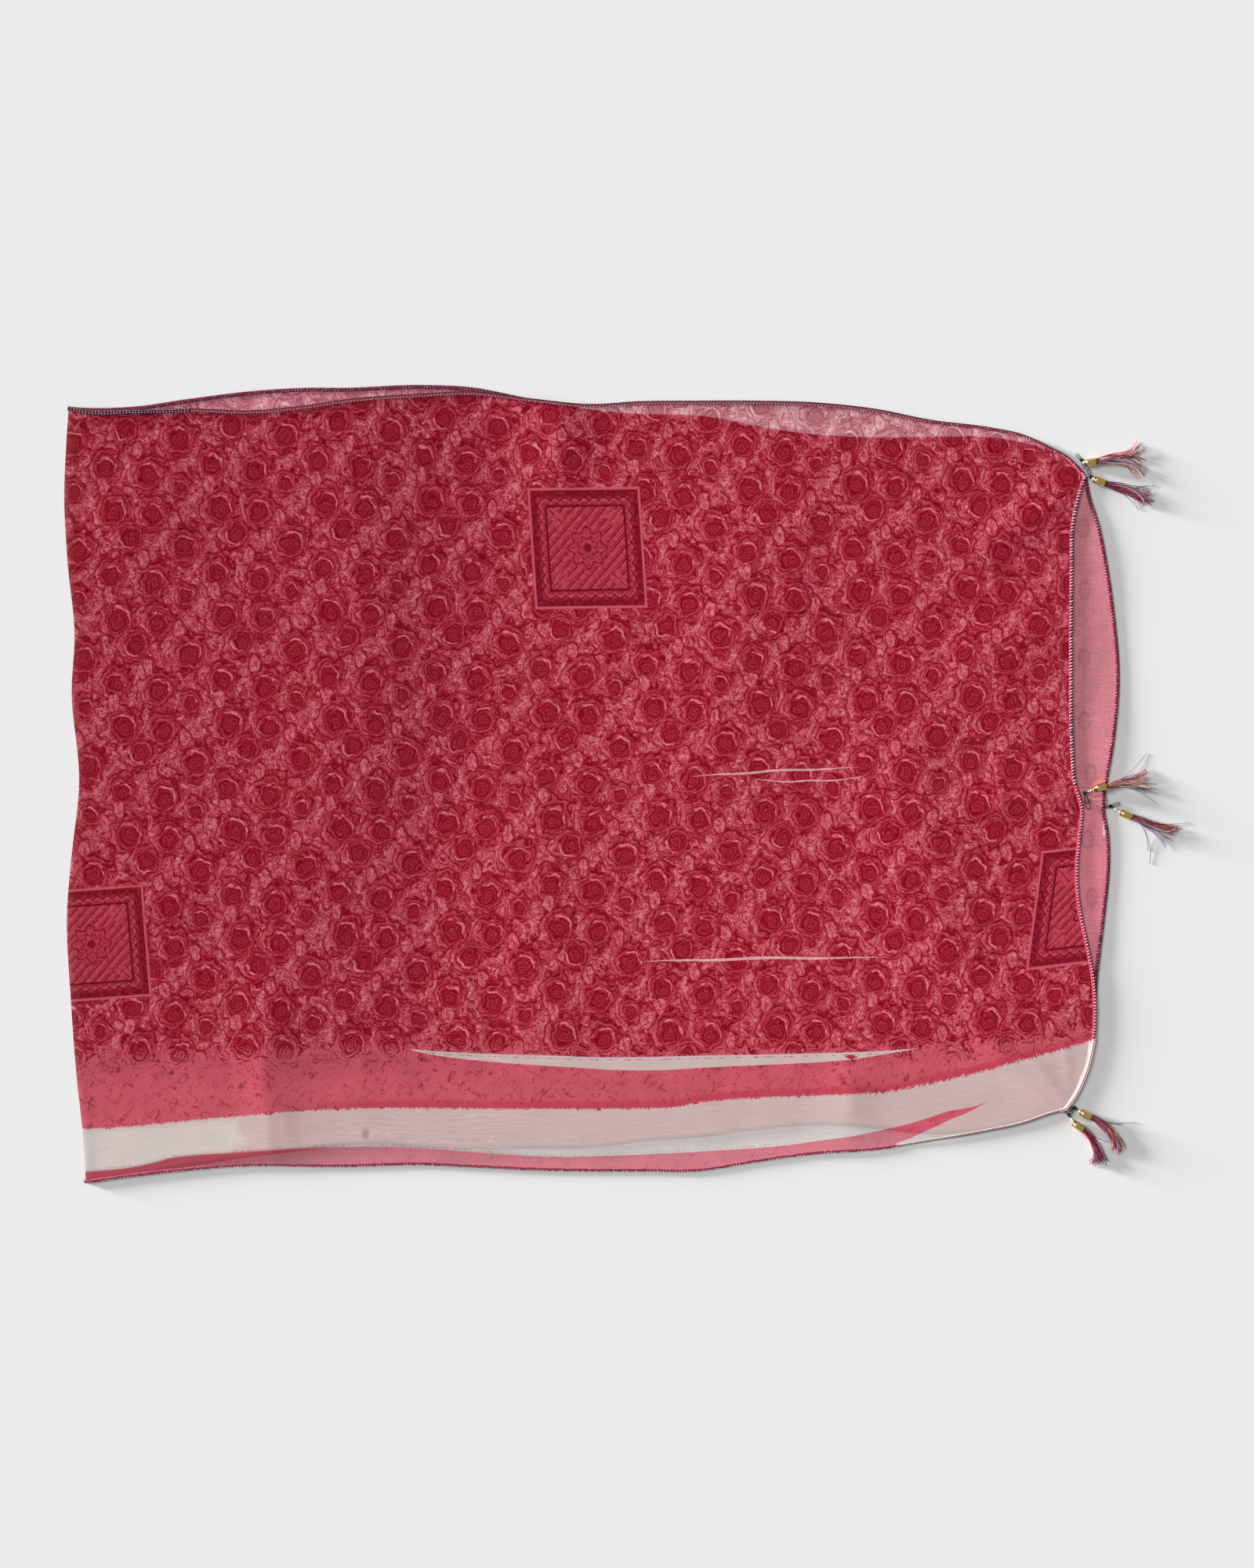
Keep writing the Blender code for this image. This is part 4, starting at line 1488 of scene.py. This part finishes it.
@dataclass(frozen=True)
class WrongSide:
    """The cloth's material on the under half, which shows its wrong side."""

    part: WrongSidePart
    cover: float = 0.85

    def build(self) -> bpy.types.Material:
        """Makes the material.

        Returns:
            The material.
        """
        material = bpy.data.materials.new(f"voile_wrong_side_{self.part.name.lower()}")
        material.use_nodes = True
        graph = Graph(material.node_tree)
        at = graph.place()
        x, y = graph.part(at, 0), graph.part(at, 1)
        slub_along = graph.noise(graph.vector("MULTIPLY", at, (0.08, 1.0, 0.0)), 0.75, 2.0, 0.6)
        slub_across = graph.noise(graph.vector("MULTIPLY", at, (1.0, 0.1, 0.0)), 0.75, 2.0, 0.6)
        weave = (slub_along - 0.5) * 0.42 + (slub_across - 0.5) * 0.34 + 1.0
        below_roses = graph.falling(y - graph.chart(x, ROSE_END), -6.0, 2.0)
        colour = graph.mix_colour(BACK_ROSE, BACK_BORDER, below_roses)
        colour = graph.lit(colour, weave)
        white = graph.falling(x + (graph.noise(at, 0.05, 1.0) - 0.5) * 30.0, -352.0, -335.0)
        white = white * graph.falling(y - graph.chart(x, CREAM_EDGE), -6.0, 2.0)
        white = white * graph.step(y - graph.chart(x, STRIP_EDGE), -1.5, 0.5)
        colour = graph.mix_colour(colour, BACK_CREAM, white)
        if self.part is WrongSidePart.SHOWN:
            colour = self.shown(graph, at, x, y, weave, colour)
        ClothShader(BACK_MEAN, self.cover).join(graph, colour, self.cover)
        return material

    @staticmethod
    def shown(graph: Graph, at: Value, x: Value, y: Value, weave: Value, covered: Value) -> Value:
        """The colour of the strips beyond the upper half.

        Args:
            graph: The material's graph.
            at: The place in millimetres.
            x: The place along the scarf.
            y: The place across it.
            weave: Light and dark threads around 1.
            covered: The colour where the cloth is covered.

        Returns:
            The colour.
        """
        above = graph.step(y - graph.chart(x, UPPER_TOP), -2.0, 1.0)
        beyond = graph.step(x - graph.chart(y, UPPER_END), -2.0, 1.0)
        roses = RoseField().tone(graph, graph.vector("ADD", at, (31.0, 17.0, 0.0)))
        pale_roses = graph.ramp(roses, BACK_ROSE_TONES)
        spots = graph.cells(
            graph.vector("MULTIPLY", at, (0.03, 0.0185, 0.0)), "F1", "Distance", 0.25
        )
        mottle = (graph.noise(at, 0.5, 3.0, 0.7) - 0.5) * 0.5
        mottle = mottle + (graph.noise(at, 0.05, 1.0) - 0.5) * 0.2
        # Painted shade: dark lines along the strip's crease and a fainter slanted one beside it.
        crease_shade = graph.falling((y + 15.2).size(), 0.4, 1.6) * graph.step(x, 399.0, 405.0)
        crease_shade = crease_shade.most(graph.falling((y + 8.0 - x * 0.012).size(), 0.3, 1.2) * 0.5)
        ring = graph.falling((spots - 0.14).size(), 0.01, 0.05)
        shade = weave + mottle - graph.falling(spots, 0.1, 0.2) * 0.08 - ring * 0.14 - crease_shade * 0.3
        by_middle = graph.step(y, -24.0, -12.0)
        plain = graph.mix_colour(BACK_END_LOW, BACK_END_HIGH, by_middle)
        plain = graph.lit(plain, shade)
        turned = graph.falling((x - 418.4).size(), 0.7, 1.5) * graph.step(y, -48.0, -43.0)
        turned = turned * graph.falling(y, -27.0, -23.0)
        plain = graph.mix_colour(plain, BACK_TURNED, turned)
        colour = graph.mix_colour(covered, pale_roses, above)
        return graph.mix_colour(colour, plain, beyond)

    @staticmethod
    def parts_at(x: np.ndarray, y: np.ndarray) -> np.ndarray:
        """Whether each place is covered or may show, as the part's number."""
        return (UPPER.outside(x, y) > -9).astype(int)


@dataclass(frozen=True)
class ScarfCloth:
    """One half of the cloth as a thin sheet."""

    half: Half
    rows: int = 176
    columns: int = 248
    turn_steps: int = 8

    def grid(self) -> np.ndarray:
        """Spreads points between the half's four edges.

        Returns:
            The flat points by their row and column. Each row runs along the scarf.
        """
        outline = Outline(self.half)
        inwards = FOLD_MIDDLE + 0.5 if self.half is Half.UPPER else FOLD_OUTER + TURN_UNDER
        left, right = outline.fold(inwards, self.rows), outline.end(self.rows)
        top, bottom = outline.top(self.columns), outline.bottom(self.columns)
        top[0], bottom[0] = left[0], left[-1]
        u = np.linspace(0, 1, self.columns)[None, :, None]
        v = np.linspace(0, 1, self.rows)[:, None, None]
        across = (1 - v) * top[None] + v * bottom[None]
        along = (1 - u) * left[:, None] + u * right[:, None]
        near = (1 - u) * top[0] + u * top[-1]
        far = (1 - u) * bottom[0] + u * bottom[-1]
        return across + along - ((1 - v) * near + v * far)

    def points(self) -> np.ndarray:
        """Lifts the flat points, and adds the turn round the fold on the upper half.

        Returns:
            The sheet's points by their row and column.
        """
        flat = self.grid()
        x, y = flat[..., 0], flat[..., 1]
        if self.half is Half.UNDER:
            return np.concatenate([flat, under_height(x, y)[..., None]], axis=2)
        sheet = np.concatenate([flat, upper_height(x, y)[..., None]], axis=2)
        turns = np.linspace(1.5 * math.pi, 0.5 * math.pi, self.turn_steps + 1)[:-1]
        radius = (UPPER_Z - UNDER_Z) / 2
        across = np.concatenate([[TURN_UNDER], radius * np.cos(turns)])
        height = np.concatenate([[UNDER_Z], UNDER_Z + radius + radius * np.sin(turns)])
        turned = np.empty((self.rows, len(across), 3))
        turned[..., 0] = sheet[:, :1, 0] + across
        turned[..., 1] = sheet[:, :1, 1]
        turned[..., 2] = height
        return np.concatenate([turned, sheet], axis=1)

    def build(self) -> bpy.types.Object:
        """Makes the sheet, and dresses each face with what the print shows there.

        Returns:
            The new object.
        """
        points = self.points()
        rows, columns = points.shape[:2]
        index = np.arange(rows * columns).reshape(rows, columns)
        faces = np.stack([index[:-1, :-1], index[1:, :-1], index[1:, 1:], index[:-1, 1:]], axis=2)
        name = f"cloth_{self.half.name.lower()}"
        obj = new_piece(name, points.reshape(-1, 3), faces.reshape(-1, 4).tolist())
        middles = points.reshape(-1, 3)[faces.reshape(-1, 4)].mean(axis=1)
        prints = VoilePrint if self.half is Half.UPPER else WrongSide
        for part in PrintPart if self.half is Half.UPPER else WrongSidePart:
            obj.data.materials.append(prints(part).build())
        parts = prints.parts_at(middles[:, 0], middles[:, 1])
        if self.half is Half.UPPER:
            # Faces of the turn round the fold get the painted-shade material.
            parts.reshape(rows - 1, columns - 1)[:, : self.turn_steps] = PrintPart.FOLD.value
        obj.data.polygons.foreach_set("material_index", parts.astype("i"))
        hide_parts(f"{self.half.name.lower()}_half")
        return obj


class HemZone(Enum):
    """The stretches of the hem, which are sewn in different colours."""

    LACE = 0
    CHAIN = 1
    DOTS = 2
    BARS = 3
    LOOPS = 4
    BACK = 5
    CRIMSON = 6
    CREAM = 7
    CREAM_RED = 8


@dataclass(frozen=True)
class Mark:
    """One thread seen in a stitch, between two places given as (across, along) the hem.

    Its finish is picked by chance from a few, and its middle bulges along the hem.
    """

    start: tuple[float, float]
    stop: tuple[float, float]
    radius: float
    finishes: tuple[Finish, ...]
    bulge: float = 0.0


@dataclass(frozen=True)
class HemLook:
    """How one stretch of the hem is sewn: its width, its band and its marks."""

    width: float
    band: Finish
    marks: tuple[Mark, ...]


# A stitch mark's height and thickness at its ends and its middle, and how flat it lies.
STITCH_HEIGHTS = (0.72, 0.98, 0.72)
STITCH_SWELL = (0.8, 1.1, 0.8)
STITCH_FLAT = 0.55

HEM_EDGE = Mark((0.2, -1.35), (0.2, 1.35), 0.3, (DARK_THREAD,))
HEM_LOOKS = {
    HemZone.LACE: HemLook(3.6, DARK_THREAD, (
        Mark((0.5, -0.6), (1.3, 0.5), 0.36, (PALE_THREAD, PINK_THREAD, GREY_THREAD), 0.5),
        Mark((2.2, -0.5), (3.2, 0.6), 0.4, (PALE_THREAD, PINK_THREAD, PINK_THREAD), 0.6),
    )),
    HemZone.CHAIN: HemLook(3.0, ROSE_THREAD, (
        HEM_EDGE,
        Mark((0.7, -0.6), (1.9, 0.4), 0.36, (DARK_THREAD, MAROON_THREAD)),
        Mark((1.6, 0.1), (2.9, 0.8), 0.34, (PALE_THREAD, PINK_THREAD, PINK_THREAD), 0.4),
    )),
    HemZone.DOTS: HemLook(2.8, ROSE_THREAD, (
        HEM_EDGE,
        Mark((0.9, -0.5), (2.4, 0.5), 0.36, (PINK_THREAD, ROSE_THREAD, CRIMSON_THREAD), 0.5),
        Mark((1.1, 0.9), (1.5, 1.2), 0.3, (DARK_THREAD, MAROON_THREAD)),
    )),
    HemZone.BARS: HemLook(3.4, MAROON_THREAD, (
        Mark((0.2, -0.8), (3.2, 0.6), 0.55, (PALE_THREAD, PALE_THREAD, PINK_THREAD, GREY_THREAD)),
        Mark((0.6, 0.75), (2.6, 1.5), 0.24, (DARK_THREAD,)),
    )),
    HemZone.LOOPS: HemLook(3.3, CRIMSON_THREAD, (
        Mark((0.5, -0.7), (2.4, 0.2), 0.42, (PALE_THREAD, PALE_THREAD, PINK_THREAD), 0.6),
        Mark((0.6, 0.9), (2.2, 1.5), 0.26, (DARK_THREAD, MAROON_THREAD)),
        Mark((2.6, 0.4), (3.2, 0.9), 0.34, (ROSE_THREAD, GREY_THREAD)),
    )),
    HemZone.BACK: HemLook(3.3, PLUM_THREAD, (
        Mark((1.9, -0.4), (2.7, 0.3), 0.4, (PINK_THREAD, ROSE_THREAD, PALE_THREAD, CRIMSON_THREAD)),
        Mark((0.5, 0.2), (1.2, 0.8), 0.4, (DARK_THREAD, MAROON_THREAD, GREY_THREAD)),
        Mark((0.6, -0.9), (1.0, -0.5), 0.28, (PINK_THREAD, CRIMSON_THREAD)),
        Mark((2.8, 0.8), (3.3, 1.2), 0.34, (DARK_THREAD, CRIMSON_THREAD)),
    )),
    HemZone.CRIMSON: HemLook(2.6, ROSE_THREAD, (
        Mark((-0.4, -0.5), (0.8, 0.1), 0.4, (PINK_THREAD, CRIMSON_THREAD, PALE_THREAD)),
        Mark((0.9, 0.1), (1.6, 0.7), 0.4, (MAROON_THREAD, CRIMSON_THREAD)),
        Mark((1.8, -0.4), (2.4, 0.2), 0.32, (PINK_THREAD, ROSE_THREAD, MAROON_THREAD)),
    )),
    HemZone.CREAM: HemLook(2.6, CREAM_THREAD, (
        Mark((0.1, -1.3), (0.1, 1.3), 0.34, (PINK_THREAD, CREAM_THREAD)),
    )),
    HemZone.CREAM_RED: HemLook(2.2, CREAM_THREAD, (
        Mark((1.5, -0.7), (1.7, 0.7), 0.28, (RED_THREAD, CREAM_THREAD)),
    )),
}
HEM_FINISHES = (
    PALE_THREAD, GREY_THREAD, DARK_THREAD, MAROON_THREAD, PINK_THREAD, CRIMSON_THREAD,
    CREAM_THREAD, RED_THREAD, ROSE_THREAD, PLUM_THREAD,
)


@dataclass(frozen=True)
class Hem:
    """The overlocked hem round one half: a rolled band with stitches over it."""

    half: Half
    pitch: float = 2.7
    flat: float = 0.48
    slip: float = 0.25

    def zone(self, x: float, y: float) -> HemZone:
        """How the hem is sewn at a place.

        Args:
            x: The place along the scarf.
            y: The place across it.

        Returns:
            The zone.
        """
        if self.half is Half.UNDER:
            return HemZone.BACK
        if x > 380 and y < -222:
            return HemZone.CREAM
        if y < -250:
            return HemZone.CREAM_RED if x > 236 else HemZone.CRIMSON
        if y > 272:
            if x > 261:
                return HemZone.DOTS
            return HemZone.LACE if x < -385 else HemZone.CHAIN
        return HemZone.BARS if y > 0 else HemZone.LOOPS

    def height(self, x: np.ndarray, y: np.ndarray) -> np.ndarray:
        """The cloth's height under the hem."""
        return upper_height(x, y) if self.half is Half.UPPER else under_height(x, y)

    def build(self) -> bpy.types.Object:
        """Makes the band and the stitches as one piece.

        Returns:
            The new object.
        """
        line = Outline(self.half).hem(self.pitch)
        heading = np.gradient(line, axis=0)
        heading /= np.linalg.norm(heading, axis=1, keepdims=True)
        inward = np.stack([heading[:, 1], -heading[:, 0]], axis=1)
        z = self.height(line[:, 0], line[:, 1])
        pile = MeshPile()
        zones = [self.zone(x, y) for x, y in line]
        widths = np.array([HEM_LOOKS[zone].width for zone in zones])
        numbers = np.array([zone.value for zone in zones])
        cuts = [0, *(np.flatnonzero(np.diff(numbers)) + 1), len(line)]
        for start, stop in zip(cuts[:-1], cuts[1:]):
            part = slice(start, min(stop + 1, len(line)))
            middle = line[part] + inward[part] * widths[part, None] * 0.5
            level = np.maximum(z[part] + 0.1, widths[part] * 0.5 * self.flat + 0.05)
            band = HEM_FINISHES.index(HEM_LOOKS[zones[start]].band)
            pile.tube(np.column_stack([middle, level]), widths[part] * 0.5, band, 8, self.flat)
        chance = np.random.default_rng(7 + self.half.value)
        for at, along, across, up, zone in zip(line, heading, inward, z, zones):
            slip = chance.uniform(-self.slip, self.slip)
            for mark in HEM_LOOKS[zone].marks:
                self.sew(pile, mark, (at + along * slip, along, across), float(up), chance)
        obj = pile.build(f"hem_{self.half.name.lower()}", HEM_FINISHES)
        return obj

    @staticmethod
    def sew(
        pile: MeshPile,
        mark: Mark,
        place: tuple[np.ndarray, np.ndarray, np.ndarray],
        height: float,
        chance: np.random.Generator,
    ) -> None:
        """Adds one mark of a stitch to the pile.

        Args:
            pile: Where the mesh goes.
            mark: The mark.
            place: The stitch's place on the outline, the way the hem runs and the way in.
            height: The cloth's height there.
            chance: Picks the mark's finish.
        """
        at, along, inward = place
        ends = [at + inward * across + along * run for across, run in (mark.start, mark.stop)]
        middle = (ends[0] + ends[1]) / 2 + along * mark.bulge
        flat = np.array([ends[0], middle, ends[1]])
        path = np.column_stack([flat, height + np.array(STITCH_HEIGHTS)])
        slot = HEM_FINISHES.index(mark.finishes[chance.integers(len(mark.finishes))])
        pile.tube(path, mark.radius * np.array(STITCH_SWELL), slot, 6, STITCH_FLAT)


# The barrel bead's side, as shares of its length and of its radius.
BEAD_PROFILE: Rows = (
    (0.0, 0.25), (0.0, 0.72), (0.05, 0.86), (0.1, 0.86), (0.13, 0.8), (0.17, 0.95),
    (0.25, 1.0), (0.5, 1.0), (0.75, 1.0), (0.83, 0.95), (0.87, 0.8), (0.9, 0.86),
    (0.95, 0.86), (1.0, 0.72), (1.0, 0.25),
)


@dataclass(frozen=True)
class Tassel:
    """One tassel: its knot, tiny beads, barrel bead and loose strands."""

    name: str
    knot: tuple[float, float, float]
    bead: tuple[float, float, float]
    heading: float
    bend: float
    fan: float
    reach: float
    seed: int
    tiny: tuple[int, ...]
    strays: tuple[tuple[float, float], ...]
    loops: tuple[tuple[float, float], ...]
    bead_length: float = 11.5
    bead_radius: float = 3.4
    strand_radius: float = 0.3
    hair_radius: float = 0.2
    cord_radius: float = 0.45
    knot_radius: float = 0.42
    loop_radius: float = 0.33
    tiny_radius: float = 1.12
    tiny_pitch: float = 2.25
    clumps: int = 6
    strands: int = 8
    shares: tuple[float, ...] = STRAND_SHARES

    def ahead(self, along: float, across: float = 0.0, up: float = 0.0) -> np.ndarray:
        """A point counted from the bead's near end.

        Args:
            along: How far along its axis.
            across: How far to the left.
            up: How far up.

        Returns:
            The point.
        """
        turn = math.radians(self.heading)
        run = np.array([math.cos(turn), math.sin(turn), 0.0])
        side = np.array([-math.sin(turn), math.cos(turn), 0.0])
        return np.array(self.bead) + run * along + side * across + np.array([0.0, 0.0, up])

    def build(self) -> list[bpy.types.Object]:
        """Makes the tassel's three pieces."""
        chance = np.random.default_rng(self.seed)
        return [self.make_bead(), self.make_tie(chance), self.make_strands(chance)]

    def make_bead(self) -> bpy.types.Object:
        """Makes the gold barrel bead with a lip at each end.

        Returns:
            The new object.
        """
        path = np.array([self.ahead(s * self.bead_length) for s in column(BEAD_PROFILE, 0)])
        size = np.array(column(BEAD_PROFILE, 1))
        pile = MeshPile()
        pile.tube(path[:5], size[:5] * self.bead_radius, 1, 24)
        pile.tube(path[4:11], size[4:11] * self.bead_radius, 0, 24)
        pile.tube(path[10:], size[10:] * self.bead_radius, 1, 24)
        obj = pile.build(f"barrel_{self.name}", (GOLD, GOLD_RIM))
        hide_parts(f"bead_{self.name}")
        return obj

    def make_tie(self, chance: np.random.Generator) -> bpy.types.Object:
        """Makes the black knot with its loops and the tiny beads on its thread.

        Args:
            chance: The tassel's own unevenness.

        Returns:
            The new object.
        """
        pile = MeshPile()
        knot, bead = np.array(self.knot), np.array(self.bead)
        run = bead - knot
        gap = np.linalg.norm(run)
        pile.tube(np.array([knot, knot + run * 0.5, bead + run / gap]), self.cord_radius, 0, 6)
        turns = np.linspace(0, 5 * math.pi, 44)
        swell = 1.25 + 0.25 * np.sin(turns * 1.7)
        ball = knot + np.stack(
            [np.cos(turns) * swell, np.sin(turns) * swell * 0.9, np.sin(turns * 0.6) * 0.8], axis=1
        )
        pile.tube(ball, self.knot_radius, 0, 6)
        for k, slot in enumerate(self.tiny):
            place = bead - run / gap * (1.1 + self.tiny_pitch * k)
            pile.ball(place, self.tiny_radius, slot, 12)
        for reach_x, reach_y in self.loops:
            t = np.linspace(0, 1, 16)[:, None]
            off = np.array([reach_x, reach_y, 0.0])
            side = np.array([-reach_y, reach_x, 0.0]) * 0.16
            there = knot + off * np.sin(t * math.pi / 2) + side * np.sin(t * math.pi)
            back = knot + off * np.cos(t * math.pi / 2) - side * np.sin(t * math.pi)
            wobble = chance.normal(0, 0.12, (32, 3))
            path = np.concatenate([there, back]) + wobble
            path[:, 2] = np.maximum(path[:, 2], knot[2] + 0.3)
            pile.tube(path, self.loop_radius, 0, 5)
        obj = pile.build(f"knot_{self.name}", (BLACK_THREAD, PEARL, GOLD))
        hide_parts(f"tie_{self.name}")
        return obj

    def make_strands(self, chance: np.random.Generator) -> bpy.types.Object:
        """Makes the bundle of loose threads in a few clumps, and its stray hairs.

        Args:
            chance: The tassel's own unevenness.

        Returns:
            The new object.
        """
        pile = MeshPile()
        for k in range(self.clumps):
            spread = ((k + 0.5) / self.clumps * 2 - 1) * 0.95 + chance.uniform(-0.15, 0.15)
            curl = chance.normal(0, 0.5)
            share = chance.uniform(0.86, 1.06)
            hue = int(chance.choice(len(STRAND_FINISHES), p=self.shares))
            for _ in range(self.strands):
                own = chance.random() < 0.5
                slot = hue if own else int(chance.choice(len(STRAND_FINISHES), p=self.shares))
                away = spread + chance.normal(0, 0.16)
                bend = curl + chance.normal(0, 0.25)
                self.strand(pile, slot, away, bend, share * chance.uniform(0.86, 1.0), chance)
        for turn, length in self.strays:
            self.hair(pile, turn, length, chance)
        obj = pile.build(f"strands_{self.name}", STRAND_FINISHES)
        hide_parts(f"tassel_{self.name}")
        return obj

    def strand(
        self,
        pile: MeshPile,
        slot: int,
        spread: float,
        curl: float,
        share: float,
        chance: np.random.Generator,
    ) -> None:
        """Adds one strand.

        Args:
            pile: Where the mesh goes.
            slot: The strand's finish.
            spread: How far to the side it fans, from -1 to 1.
            curl: How far its end turns aside, in radians.
            share: Its length as a share of the tassel's.
            chance: The strand's own unevenness.
        """
        steps = 14
        t = np.linspace(0, 1, steps)
        phase = chance.uniform(0, 6.28)
        turn = math.radians(self.fan) * spread * (0.35 + 0.9 * t)
        turn = turn + math.radians(self.bend) * t + curl * t**3 + 0.13 * np.sin(t * 8 + phase)
        stride = self.reach * share / steps
        along = np.cumsum(np.cos(turn)) * stride - stride
        across = np.cumsum(np.sin(turn)) * stride + spread * 1.7
        level = chance.uniform(0.45, 3.6)
        start = self.bead[2] + chance.uniform(-1.6, 1.6)
        height = level + (start - level) * (1 - t) ** 2
        start_at = self.bead_length - 0.6
        points = np.array([self.ahead(start_at + a, c) for a, c in zip(along, across)])
        points[:, 2] = np.maximum(height + 0.15 * np.sin(t * 14 + phase), 0.4)
        thick = self.strand_radius * chance.uniform(0.8, 1.2) * (1 - 0.25 * t)
        pile.tube(points, thick, slot, 5)

    def hair(self, pile: MeshPile, turn: float, length: float, chance: np.random.Generator) -> None:
        """Adds one fine stray hair.

        Args:
            pile: Where the mesh goes.
            turn: How far it leans from the bundle, in degrees.
            length: Its length.
            chance: The tassel's own unevenness.
        """
        steps = 12
        t = np.linspace(0, 1, steps)
        angle = math.radians(turn) * (0.4 + 0.8 * t)
        along = np.cumsum(np.cos(angle)) * length / steps
        across = np.cumsum(np.sin(angle)) * length / steps
        points = np.array([self.ahead(self.bead_length + 4 + a, c) for a, c in zip(along, across)])
        points[:, 2] = np.maximum(self.bead[2] * (1 - t) ** 2 + 0.5, 0.3)
        pile.tube(points, self.hair_radius, int(chance.choice(HAIR_SLOTS)), 4)


TASSELS = (
    Tassel("upper_top", (398.5, 284.0, 1.8), (400.8, 280.8, 3.6), 10, -20, 13, 50, 3, (1,),
           ((14, 22), (-22, 30)), ((-4.5, 5.0), (3.5, -7.5))),
    Tassel("under_top", (407.0, 269.0, 1.3), (408.9, 266.9, 3.6), -19, 0, 12, 51, 11, (1,),
           ((24, 40), (-26, 34)), ((-3.0, 7.0),)),
    Tassel("upper_middle", (401.0, -8.0, 2.4), (409.8, -4.5, 4.8), 15, -24, 12, 50, 5, (2, 1, 2),
           ((34, 42), (-48, 44)), ((3.5, -14.0), (2.0, -9.0))),
    Tassel("under_middle", (424.0, -19.5, 1.3), (432.7, -24.8, 3.6), -24, 0, 11, 51, 8, (1, 2, 1),
           ((26, 47), (-58, 30), (-62, 42)), ((8.0, 2.5), (-5.0, -1.0))),
    Tassel("upper_bottom", (387.5, -290.0, 1.8), (391.2, -296.7, 3.6), -36, -52, 12, 41, 9, (1, 1),
           ((-30, 34), (18, 28)), ((-4.0, 4.0), (5.0, 5.0)), shares=DARK_STRAND_SHARES),
    Tassel("under_bottom", (392.5, -284.0, 1.3), (397.4, -287.5, 3.6), -25, -46, 9, 46, 14, (1,),
           ((16, 24), (26, 36)), ((-9.0, 1.5), (-4.0, -3.0)), shares=DARK_STRAND_SHARES),
)


@dataclass(frozen=True)
class Sun:
    """A soft far light.

    It comes from a bearing counted from +X at a height above the floor, and fills an angle,
    all three in degrees.
    """

    name: str
    bearing: float
    height: float
    spread: float
    power: float


KEY_LEFT = Sun("key_left", 155.0, 42.0, 24.0, 1.35)
LOW_LEFT = Sun("low_left", 161.0, 5.5, 9.0, 13.6)


@dataclass(frozen=True)
class Studio:
    """The pale floor, the soft light and the camera straight above."""

    camera_height: float = 3.247
    lens: float = 85.0
    sensor: float = 36.0
    floor_reach: float = 20000.0
    floor_grey: float = 0.815
    sky_strength: float = 0.32
    suns: tuple[Sun, ...] = (KEY_LEFT, LOW_LEFT)

    def floor(self) -> bpy.types.Object:
        """Makes the plain pale floor.

        Returns:
            The new object.
        """
        far = self.floor_reach
        square = np.array([[-far, -far, 0], [far, -far, 0], [far, far, 0], [-far, far, 0]])
        obj = new_piece("floor", square, [[0, 1, 2, 3]])
        material = bpy.data.materials.new("pale_floor")
        material.use_nodes = True
        shader = material.node_tree.nodes["Principled BSDF"]
        grey = self.floor_grey
        shader.inputs["Base Color"].default_value = (grey, grey, grey, 1)
        shader.inputs["Roughness"].default_value = 1.0
        shader.inputs["Specular IOR Level"].default_value = 0.0
        obj.data.materials.append(material)
        return obj

    @staticmethod
    def light(sun: Sun) -> None:
        """Adds a soft far light.

        Args:
            sun: The light.
        """
        light = bpy.data.lights.new(sun.name, "SUN")
        light.angle = math.radians(sun.spread)
        light.energy = sun.power
        obj = bpy.data.objects.new(sun.name, light)
        tilt = math.radians(90 - sun.height)
        obj.rotation_euler = (tilt, 0.0, math.radians(sun.bearing + 90))
        bpy.context.scene.collection.objects.link(obj)

    def sky(self) -> None:
        """Adds even light from all round."""
        world = bpy.data.worlds.new("soft_sky")
        world.use_nodes = True
        background = world.node_tree.nodes["Background"]
        background.inputs["Color"].default_value = (1, 1, 1, 1)
        background.inputs["Strength"].default_value = self.sky_strength
        bpy.context.scene.world = world

    def camera(self) -> None:
        """The camera straight above the scarf's middle."""
        data = bpy.data.cameras.new("above")
        data.lens = self.lens
        data.sensor_width = self.sensor
        data.clip_end = 50.0
        obj = bpy.data.objects.new("above", data)
        obj.location = (0.0, 0.0, self.camera_height)
        bpy.context.scene.collection.objects.link(obj)
        bpy.context.scene.camera = obj

    def build(self) -> None:
        """Sets the studio up."""
        self.floor()
        for sun in self.suns:
            self.light(sun)
        self.sky()
        self.camera()
        scene = bpy.context.scene
        scene.view_settings.view_transform = "Standard"
        scene.cycles.max_bounces = 3
        scene.cycles.diffuse_bounces = 1
        scene.cycles.glossy_bounces = 2
        scene.cycles.transparent_max_bounces = 6


def main() -> None:
    """Builds the scarf and its studio."""
    logging.basicConfig(level=logging.INFO)
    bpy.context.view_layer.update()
    Studio().build()
    under = ScarfCloth(Half.UNDER).build()
    log.info("built %s", under.name)
    upper = ScarfCloth(Half.UPPER).build()
    log.info("built %s", upper.name)
    hems = {half: Hem(half).build() for half in Half}
    log.info("built both hems")
    for tassel in TASSELS:
        for piece in tassel.build():
            log.info("built %s", piece.name)


if __name__ == "__main__":
    main()
